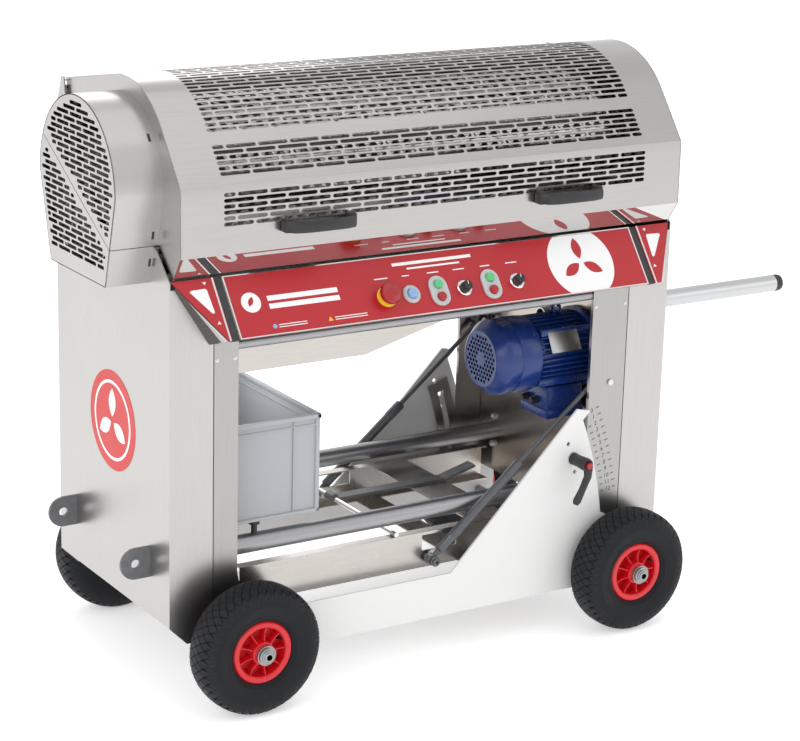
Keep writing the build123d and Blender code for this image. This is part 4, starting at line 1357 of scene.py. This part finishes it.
@dataclass
class DriveMotor:
    """Finned motor with a pierced fan cover, terminal box and rating plate."""

    y: float = -108.0
    z: float = 568.0
    cover_left: float = 632.0
    cover_right: float = 735.0
    plate_x: float = 878.0

    def build(self) -> None:
        """Build the motor's pieces."""
        axis = (1.0, 0.0, 0.0)
        center = (0.0, self.y, self.z)
        left, right = self.cover_left, self.cover_right
        cover = Shape()
        cover.lathe([(54, left + 0.4), (58, left), (61, left + 1.5), (76, left + 19), (79.4, left + 24),
                     (79.9, left + 30), (79.9, left + 52), (79.0, left + 54), (79.9, left + 56),
                     (79.9, right - 5), (79.0, right), (77.2, right), (77.4, left + 30), (74, left + 21),
                     (59, left + 4), (54, left + 3.4)], center, axis, 72)
        holes = []
        for i in range(-6, 7):
            for j in range(-6, 7):
                u, v = 10.4 * (i + (0.5 if j % 2 else 0.0)), 9.0 * j
                if 11 < math.hypot(u, v) < 50:
                    holes.append(circle(3.9, 10, (u, v)))
        cover.punched(circle(55.0, 64), holes,
                      lambda u, v, w: (left + 1.6 + w, self.y + u, self.z + v), 1.6)
        cover.bar((left + 0.4, self.y, self.z), (left + 4, self.y, self.z), 10.0)
        for a in (45, 135, 225, 315):
            c, s = math.cos(math.radians(a)), math.sin(math.radians(a))
            cover.solid_turn([(4.5, 0), (4.5, 1.6), (3.2, 2.6)],
                             (right - 10, self.y + 79.0 * c, self.z + 79.0 * s), (0, c, s), 16)
        cover.piece("motor_fan_cover", BLUE_PAINT, "machine_body", ["fan_cover"])
        fan = Shape().bar((left + 22, self.y, self.z), (left + 50, self.y, self.z), 16.0)
        for k in range(9):
            fan.block((left + 24, -1.5, 10), (left + 48, 1.5, 68), 0.6, spun(center, math.tau * k / 9))
        fan.solid_turn([(68, left + 48), (68, left + 50)], center, axis, 48)
        fan.piece("motor_fan", BLACK, "rotor")
        body = Shape()
        body.solid_turn([(66, right + 0.5), (68, right + 3), (68, 864), (78, 865), (84, 867), (84, 876),
                         (82.5, self.plate_x)], center, axis, 72)
        for a in (9.0 * k for k in range(40)):
            if not 235 < a < 305:
                body.block((right + 4, -1.3, 60), (862, 1.3, 77.5), 0.7,
                           spun(center, math.radians(a - 90)))
        for a in (45, 135, 225, 315):
            c, s = math.cos(math.radians(a)), math.sin(math.radians(a))
            y, z = self.y + 76 * c, self.z + 76 * s
            body.block((right + 6, y - 7, z - 7), (866, y + 7, z + 7), 2.0)
            body.solid_turn([(6.5, 0), (6.5, 4), (5.4, 5)], (866, y, z), (-1, 0, 0), 6)
        body.lathe([(8, -4), (13, -4), (13, 4), (8, 4)], (816, self.y, self.z + 87), (0, 1, 0), 28)
        body.piece("motor_body", BLUE_PAINT, "machine_body", ["motor_frame"])
        box = Shape()
        box.block((772, self.y - 48, 446), (862, self.y + 42, 500), 4.0)
        box.block((769, self.y - 51, 430), (865, self.y + 45, 450), 3.5)
        for dx in (779, 855):
            for dy in (-42, 36):
                box.bar((dx, self.y + dy, 431), (dx, self.y + dy, 427.5), 3.6, 16)
        box.block((790, self.y - 40, 498), (846, self.y + 34, 512), 2.0)
        for x in (734.0, 752.0):
            box.block((x, self.y - 30, 500), (x + 12, self.y - 22, 512), 1.5)
        box.piece("motor_terminal_box", BLUE_PAINT, "machine_body", ["terminal_box"])
        gland = Shape()
        for dy in (-10, 22):
            gland.solid_turn([(9, 0), (9, 8), (7.6, 8.4), (7.6, 15), (5, 17)], (772, self.y + dy, 464),
                             (-1, 0, 0), 6)
        gland.piece("motor_glands", BLACK, "machine_body")
        plate = Shape()
        turn = spun(center, math.radians(62))
        plate.block((756, -24, 78.0), (830, 24, 79.6), 0.5, turn)
        for x in (760, 826):
            for v in (-20, 20):
                start, end = (tuple(turn @ Vector((x, v, level))) for level in (79.4, 80.6))
                plate.bar(start, end, 1.8, 10, 0.3)
        plate.piece("motor_rating_plate", ALUMINIUM, "machine_body")


@dataclass
class Axles:
    """Both hollow axles with round end nuts, and the lower bolts of the springs."""

    end: float = 365.9

    def build(self) -> None:
        """Build the axles as one piece on the chassis."""
        shape = Shape()
        tube = [(6.0, self.end), (9.2, self.end), (10.0, self.end - 0.9)]
        washer = [(9.9, 353.0), (19.2, 353.0), (20.0, 353.6), (20.0, 355.4), (19.2, 356.0), (9.9, 356.0)]
        nut = [(9.9, 355.8), (15.6, 355.8), (16.6, 357.0), (16.6, 359.2), (15.2, 360.4), (13.4, 360.8),
               (13.4, 363.2), (12.6, 364.0), (9.9, 364.0)]
        for x in (0.0, WHEELBASE):
            center = (x, 0.0, AXLE_Z)
            shape.lathe([(r, -d) for r, d in tube] + tube[::-1], center, (0, 1, 0), 40)
            for side in SIDES:
                shape.lathe(washer, center, (0, side, 0), 48)
                shape.lathe(nut, center, (0, side, 0), 48)
        foot = (SPRING_FOOT[0], 0.0, SPRING_FOOT[1])
        for side in SIDES:
            shape.solid_turn([(6.0, 204.6), (6.0, 242.0), (9.0, 242.0), (9.0, 246.4), (8.4, 247.0)],
                             foot, (0, side, 0), 24)
        shape.piece("axle_set_turned", NUT_STEEL, "chassis", ["axle_set"])


@dataclass
class Wheel:
    """Pneumatic wheel with a diamond tread and a ribbed red rim."""

    label: str
    x: float
    side: int
    radius: float = 130.0
    middle: float = 308.0
    blocks: int = 44
    ribs: int = 9

    def build(self) -> None:
        """Build the tyre and the rim."""
        center = (self.x, self.side * self.middle, self.radius)
        axis = (0.0, float(self.side), 0.0)
        spindle = Spindle(Vector(center), Vector(axis), Vector((1, 0, 0)))
        self._tyre(center, axis, spindle)
        self._rim(center, axis, spindle)

    @staticmethod
    def _carcass(distance: float) -> float:
        """Measure the carcass.

        Args:
            distance: Distance from the tyre's middle plane.

        Returns:
            Its radius there.
        """
        t = abs(distance)
        table = [(0, 125.8), (10, 125.5), (20, 124.4), (29, 122.0), (34.5, 118.0), (38.5, 112.0),
                 (41.6, 104.0)]
        for (d0, r0), (d1, r1) in zip(table, table[1:]):
            if t <= d1:
                return r0 + (r1 - r0) * (t - d0) / (d1 - d0)
        return table[-1][1]

    def _tyre(self, center: Point3, axis: Point3, spindle: Spindle) -> None:
        """Build the round carcass with its beads, diamond tread and shoulder bars.

        Args:
            center: Middle of the wheel.
            axis: Direction of the axle, outwards.
            spindle: Cylindrical coordinates round the axle.
        """
        shape = Shape()
        crown = self.radius - 4.5
        outer = [(62.7, -29), (65, -32.5), (70, -35.5), (71.5, -38), (74, -38.6), (76, -37.6),
                 (84, -39.6), (95, -42.0), (99, -42.3), (101, -41.4), (104, -41.6), (112, -38.5),
                 (118, -34.5), (122, -29), (124.4, -20), (crown, -10), (crown + 0.3, 0)]
        shape.lathe(outer + [(r, -d) for r, d in reversed(outer[:-1])], center, axis, 96)
        diamond = ((1, 0.1), (0.1, 1), (-0.1, 1), (-1, 0.1), (-1, -0.1), (-0.1, -1), (0.1, -1),
                   (1, -0.1))
        for d, half, shift, tall in (
                (-26.0, 12.2, 0.0, 4.0), (-13.0, 12.2, 0.5, 4.2), (0.0, 12.2, 0.0, 4.2),
                (13.0, 12.2, 0.5, 4.2), (26.0, 12.2, 0.0, 4.0), (-36.5, 5.0, 0.5, 3.0),
                (36.5, 5.0, 0.5, 3.0)):
            for k in range(self.blocks):
                middle = math.tau * (k + shift) / self.blocks
                rings = []
                for grow, size in ((-1.0, 1.0), (tall * 0.8, 0.95), (tall, 0.87)):
                    ring = []
                    for u, v in diamond:
                        off = d + v * half * size
                        r = min(self._carcass(off) + grow, self.radius)
                        ring.append(spindle.at(r, middle + u * 0.064 * size, off))
                    rings.append(ring)
                shape.loft(rings)
        for k in range(self.blocks):
            a = math.tau * k / self.blocks
            for sign in (-1, 1):
                shape.loft([[spindle.at(r, a + wide * part / r, sign * (off + lift))
                             for part, lift in ((-1, -1.0), (1, -1.0), (0.7, 1.0), (-0.7, 1.0))]
                            for r, wide, off in ((116.0, 3.0, 36.6), (103.0, 2.2, 40.8))])
        shape.piece(f"tyre_{self.label}_tread", RUBBER, f"wheel_{self.label}",
                    [f"tyre_{self.label}"])

    def _rim(self, center: Point3, axis: Point3, spindle: Spindle) -> None:
        """Build the moulded rim: flanged ring, closed disc, ribs, hub, bearing and valve.

        Args:
            center: Middle of the wheel.
            axis: Direction of the axle, outwards.
            spindle: Cylindrical coordinates round the axle.
        """
        shape = Shape()
        flange = [(60, 32.5), (52, 32.5), (49.5, 30), (47.5, 14)]
        shape.lathe([(60, -32.5), (62.6, -30), (62.6, 30), *flange,
                     *((r, -d) for r, d in flange[:0:-1])], center, axis, 72)
        up = spindle.along.cross(spindle.side)
        shape.punched(circle(48.5, 72), [circle(20.5, 40)],
                      lambda u, v, w: tuple(spindle.center + spindle.side * u + up * v
                                            + spindle.along * (6.0 + w)), 5.0)
        for k in range(self.ribs):
            a = math.tau * k / self.ribs
            shape.loft([[spindle.at(r, a + wide / r * part, level)
                         for part, level in ((-1, -8.0), (1, -8.0), (1, tall - 1.5), (0.5, tall),
                                             (-0.5, tall), (-1, tall - 1.5))]
                        for r, wide, tall in ((22.0, 1.6, 31.0), (36.0, 1.5, 26.0), (48.6, 1.7, 27.0))])
        shape.lathe([(16.5, -43), (21.5, -43), (22.5, -40), (23.5, 6), (22.5, 35), (20.5, 36.5),
                     (16.5, 36.5)], center, axis, 48)
        body = f"wheel_{self.label}"
        shape.piece(f"rim_{self.label}_ribbed", RIM_RED, body, [f"rim_{self.label}"])
        bearing = Shape().lathe([(10.1, -43.5), (16.6, -43.5), (16.6, 42.5), (14.8, 43.6), (12.4, 42.2),
                                 (10.1, 43.8)], center, axis, 48)
        bearing.piece(f"rim_{self.label}_bearing", BOLT, body)
        valve = Shape().bar(tuple(spindle.at(44, 0.35, 8)), tuple(spindle.at(50, 0.35, 26)), 2.6, 12)
        valve.piece(f"rim_{self.label}_valve", BLACK, body)


@dataclass
class Crate:
    """Stacking crate with a lipped rim, corner posts and side ribs."""

    x: Point2 = (-98.0, 202.0)
    y: Point2 = (-200.0, 200.0)
    z: Point2 = (338.0, 538.0)

    def build(self) -> None:
        """Build the crate."""
        shape = Shape()
        (x0, x1), (y0, y1), (z0, z1) = self.x, self.y, self.z

        def walls(inset: float, wall: float, low: float, high: float, edge: float) -> None:
            """Add four strips round the crate between two heights.

            Args:
                inset: Distance of their outer faces from the crate's outline.
                wall: Distance of their inner faces from it.
                low: Lower height.
                high: Upper height.
                edge: Size of the edge rounding.
            """
            a0, a1, b0, b1 = x0 + inset, x1 - inset, y0 + inset, y1 - inset
            inner_x, inner_y = (x0 + wall, x1 - wall), (y0 + wall, y1 - wall)
            for u0, u1, v0, v1 in ((a0, inner_x[0], b0, b1), (inner_x[1], a1, b0, b1),
                                   (a0, a1, b0, inner_y[0]), (a0, a1, inner_y[1], b1)):
                shape.block((u0, v0, low), (u1, v1, high), edge)

        shape.block((x0 + 5, y0 + 5, z0), (x1 - 5, y1 - 5, z0 + 4), 1.5)
        walls(5.0, 8.0, z0, z1 - 1, 1.0)
        for depth, low, high in ((0.0, z1 - 9, z1), (2.2, z1 - 22, z1 - 19), (1.2, z0, z0 + 7)):
            walls(depth, 9.0, low, high, 1.6)
        for x in (x0 + 1.5, x1 - 11.5):
            for y in (y0 + 1.5, y1 - 11.5):
                shape.block((x, y, z0 + 1), (x + 10, y + 10, z1 - 2), 3.0)
        for t in (0.2, 0.8):
            x = x0 + (x1 - x0) * t
            for y in (y0 + 2, y1 - 6):
                shape.block((x - 1.3, y, z0 + 2), (x + 1.3, y + 4, z1 - 10), 0.7)
        for t in (0.16, 0.84):
            y = y0 + (y1 - y0) * t
            for x in (x0 + 2, x1 - 6):
                shape.block((x, y - 1.3, z0 + 2), (x + 4, y + 1.3, z1 - 10), 0.7)
        shape.piece("crate_ribbed", CRATE_GREY, "crate", ["crate"])


@dataclass
class GasSpring:
    """Gas spring with a collared barrel, a slim rod and a ring eye at each end."""

    label: str
    side: int
    foot: Point2 = SPRING_FOOT
    head: Point2 = (860.0, 545.0)
    middle: float = 229.0

    def build(self) -> None:
        """Build the cylinder and the rod along the line between the pivots."""
        y = self.side * self.middle
        start, end = (Vector((x, y, z)) for x, z in (self.foot, self.head))
        along = (end - start).normalized()
        barrel = Shape()
        barrel.solid_turn([(5.0, 9), (6.5, 16), (6.5, 22), (10.0, 24), (10.0, 60), (10.4, 61),
                           (10.4, 64), (10.0, 65), (10.0, 230), (11.0, 231), (11.0, 268), (10.0, 270)],
                          tuple(start), tuple(along), 36)
        self._eye(barrel, start, 6.2, 11.5)
        barrel.piece(f"gas_spring_barrel_{self.label}", TUBE_GREY, f"cylinder_{self.label}",
                     [f"spring_cylinder_{self.label}"])
        rod = Shape()
        long = (end - start).length
        rod.solid_turn([(4.8, 262), (4.8, long - 32), (7.0, long - 30), (7.0, long - 18),
                        (5.5, long - 13.5)], tuple(start), tuple(along), 28)
        self._eye(rod, end, 12.1, 16.8)
        rod.piece(f"gas_spring_rod_{self.label}", DARK_METAL, f"piston_{self.label}",
                  [f"spring_rod_{self.label}"])
        bolt = Shape()
        tip = self.foot[0], self.side * (self.middle + 18.2), self.foot[1]
        bolt.lathe([(6.2, 0), (10.5, 0), (10.5, 2), (6.2, 2)], tip, (0, -self.side, 0), 32)
        bolt.lathe([(4.2, 0), (8.6, 0), (8.8, 1), (8.8, 4), (7.6, 5), (4.2, 5)],
                   (tip[0], self.side * BODY_SIDE_Y, tip[2]), (0, self.side, 0), 6)
        bolt.piece(f"gas_spring_bolt_{self.label}", DARK_METAL, "chassis")

    @staticmethod
    def _eye(shape: Shape, center: Vector, bore: float, outer: float) -> None:
        """Add a ring eye across the machine.

        Args:
            shape: Shape that it goes into.
            center: Middle of the eye.
            bore: Inner radius.
            outer: Outer radius.
        """
        shape.lathe([(bore, -9), (outer - 1, -9), (outer, -8), (outer, 8), (outer - 1, 9), (bore, 9)],
                    tuple(center), (0, 1, 0), 36)


@dataclass
class ClampLever:
    """Clamping lever with a tapered arm and a round hub."""

    x: float = 771.0
    z: float = 375.0
    face: float = -258.5

    def build(self) -> None:
        """Build the lever and its washer."""
        shape = Shape()
        y = self.face
        shape.lathe([(7.2, 50), (10.5, 52), (13, 50), (14, 44), (12.5, 20), (12.5, 4), (14, 0.5),
                     (7.2, 0.5)], (self.x, y, self.z), (0, -1, 0), 40)
        path = [((self.x - 1, y - 40, self.z + 2), 11.0), ((self.x + 6, y - 44, self.z - 8), 11.0),
                ((self.x + 4, y - 46, self.z - 26), 9.0), ((self.x - 8, y - 46, self.z - 52), 8.0),
                ((self.x - 20, y - 45, self.z - 76), 9.5), ((self.x - 23, y - 44.5, self.z - 83), 6.0)]
        rings = []
        for i, (p, r) in enumerate(path):
            before, after = (Vector(path[j][0]) for j in (max(i - 1, 0), min(i + 1, len(path) - 1)))
            way = (after - before).normalized()
            out = Vector((0, 1, 0))
            out = (out - way * out.dot(way)).normalized()
            across = way.cross(out)
            rings.append([Vector(p) + out * (r * 0.75 * c) + across * (r * s)
                          for c, s in circle(1.0, 20)])
        shape.loft(rings)
        shape.piece("clamp_lever_arm", BLACK, "lever", ["clamp_lever"])
        washer = Shape().lathe([(7.0, 0), (15.5, 0), (15.5, 1.6), (14.8, 2.2), (7.0, 2.2)],
                               (self.x, y + 0.4, self.z), (0, -1, 0), 36)
        washer.piece("clamp_washer", BOLT, "lever")


@dataclass
class PushBar:
    """Push bar's moulded end cap and the collar where it leaves the body."""

    z: float = 606.0
    end: float = 1524.0
    outlet: float = 999.0

    def build(self) -> None:
        """Build the cap and the collar."""
        cap = Shape()
        start = (self.end - 20, 0, self.z)
        cap.solid_turn([(18.9, 0), (18.9, 14), (17.6, 18.2), (13.0, 19.8)], start, (1, 0, 0), 48)
        for low in (3, 8):
            cap.lathe([(17.5, low), (19.0, low), (19.0, low + 2), (17.5, low + 2)], start, (1, 0, 0), 48)
        cap.piece("push_bar_cap", BLACK, "handle", ["bar_end_cap"])
        collar = Shape().lathe([(19.2, 0), (27, 0), (27, 3), (22.5, 7), (19.2, 7)],
                               (self.outlet, 0, self.z), (1, 0, 0), 48)
        collar.piece("push_bar_collar", BLACK, "machine_body")


DRESSING: dict[str, Finish] = {
    "side_plate_front": WHITE_COAT, "side_plate_rear": WHITE_COAT, "chassis_rails": STEEL_INNER,
    "tie_bar": DARK_METAL, "cross_rod": POLISHED, "left_leg_cover": STEEL_UP,
    "right_leg_cover": STEEL_UP, "leg_posts": POST_STEEL, "motor_plate": STEEL_INNER_UP,
    "cross_tubes": TUBE_SATIN, "rear_panel": STEEL, "hopper": STEEL_INNER, "bearing_blocks": DARK_METAL,
    "crate_rests": BLACK, "hitch_tabs": DARK_METAL, "body_bolts": BOLT, "console_box": POLISHED,
    "console_panels": RED_PANEL, "drive_belt": BELT, "hinge_pin": POLISHED, "drum_roller_front": BELT,
    "drum_roller_rear": BELT, "blade_reel": STEEL_INNER, "motor_rotor": STEEL_INNER,
    "lever_button": BUTTON_RED, "handle_bar": ALUMINIUM,
}


@dataclass
class Studio:
    """Pale floor, soft lights and the camera."""

    lens: float = 106.04
    place: Point3 = (-2.64911, -3.95852, 1.91366)

    def build(self) -> None:
        """Build the stage."""
        self._floor()
        self._world()
        self._lights()
        self._camera()

    def _floor(self) -> None:
        """Large plain floor."""
        mesh = bpy.data.meshes.new("studio_floor")
        mesh.from_pydata([(-30, -30, 0), (30, -30, 0), (30, 30, 0), (-30, 30, 0)], [], [(0, 1, 2, 3)])
        floor = bpy.data.objects.new("studio_floor", mesh)
        bpy.context.scene.collection.objects.link(floor)
        paper = bpy.data.materials.new("Studio paper")
        paper.use_nodes = True
        shader = paper.node_tree.nodes["Principled BSDF"].inputs
        for name, value in (("Base Color", (0.90, 0.90, 0.90, 1.0)), ("Roughness", 0.9),
                            ("Specular IOR Level", 0.1), ("Emission Color", (1.0, 1.0, 1.0, 1.0)),
                            ("Emission Strength", 0.42)):
            shader[name].default_value = value
        mesh.materials.append(paper)
        floor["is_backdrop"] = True

    def _world(self) -> None:
        """Even white surroundings that are darker low down, for contrast in the steel."""
        world = bpy.data.worlds.new("studio")
        bpy.context.scene.world = world
        world.use_nodes = True
        tree = world.node_tree
        sky = tree.nodes["Background"]
        place = add_node(tree, "TexCoord", {})
        split = add_node(tree, "SeparateXYZ", {0: place.outputs["Generated"]})
        spread = add_node(tree, "MapRange", {"Value": split.outputs["Z"], "From Min": -1.0})
        ramp = add_node(tree, "ValToRGB", {"Fac": spread.outputs[0]})
        tree.links.new(ramp.outputs["Color"], sky.inputs["Color"])
        stops = ramp.color_ramp.elements
        stops[0].color = (0.85, 0.85, 0.85, 1.0)
        stops[1].color = (0.72, 0.72, 0.72, 1.0)
        for spot, level in ((0.48, 1.0), (0.56, 1.0), (0.64, 0.88), (0.80, 1.0)):
            stops.new(spot).color = (level, level, level, 1.0)
        sky.inputs["Strength"].default_value = 1.0

    def _lights(self) -> None:
        """Large soft panels in front, above and behind."""
        for name, place, aim, size, power in (
                ("key", (-4.4, -1.8, 3.0), (0.0, 0.0, 0.7), 3.4, 60.0),
                ("top", (0.2, -0.6, 4.4), (0.0, 0.0, 0.8), 3.6, 18.0),
                ("fill", (3.4, -3.4, 2.6), (0.0, 0.0, 0.6), 2.6, 16.0),
                ("back", (0.8, 4.0, 3.0), (0.0, 0.0, 0.8), 2.6, 30.0),
                ("bay", (-0.59, 0.0, 0.625), (-0.59, 0.001, 0.3), 0.24, 0.6)):
            data = bpy.data.lights.new(name, "AREA")
            data.shape = "SQUARE"
            data.size = size
            data.energy = power
            lamp = bpy.data.objects.new(name, data)
            lamp.location = place
            lamp.rotation_euler = (Vector(aim) - Vector(place)).to_track_quat("-Z", "Y").to_euler()
            bpy.context.scene.collection.objects.link(lamp)

    def _camera(self) -> None:
        """Camera in front, to the left and above."""
        data = bpy.data.cameras.new("camera")
        data.sensor_width = 36.0
        data.lens = self.lens
        data.clip_end = 100.0
        camera = bpy.data.objects.new("camera", data)
        right, up = (0.8482, -0.5291, 0.0265), (0.1282, 0.2535, 0.9589)
        back = (-0.5140, -0.8099, 0.2828)
        turn = Matrix((right, up, back)).transposed().to_4x4()
        camera.matrix_world = Matrix.Translation(self.place) @ turn
        bpy.context.scene.collection.objects.link(camera)
        bpy.context.scene.camera = camera
        bpy.context.scene.view_settings.view_transform = "Standard"


def main() -> None:
    """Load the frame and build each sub-assembly in order."""
    logging.basicConfig(level=logging.INFO, format="%(message)s")
    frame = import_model()
    low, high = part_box("tyre_front_left")
    Shape.origin_x = (low.x + high.x) / 2
    for node, finish in DRESSING.items():
        mesh = frame["nodes"][node].data
        mesh.materials.clear()
        mesh.materials.append(finish.material())
    wheels = [Wheel(f"{row}_{end}", x, side) for row, side in zip(("front", "rear"), SIDES)
              for end, x in (("left", 0.0), ("right", WHEELBASE))]
    springs = [GasSpring(label, side) for label, side in zip(("front", "rear"), SIDES)]
    for part in (Hood(), EndGuard(), TumblerDrum(), Console(), BodyDetails(), DriveMotor(), Axles(),
                 *wheels, Crate(), *springs, ClampLever(), PushBar(), Studio()):
        part.build()
    low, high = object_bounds()


if __name__ == "__main__":
    main()
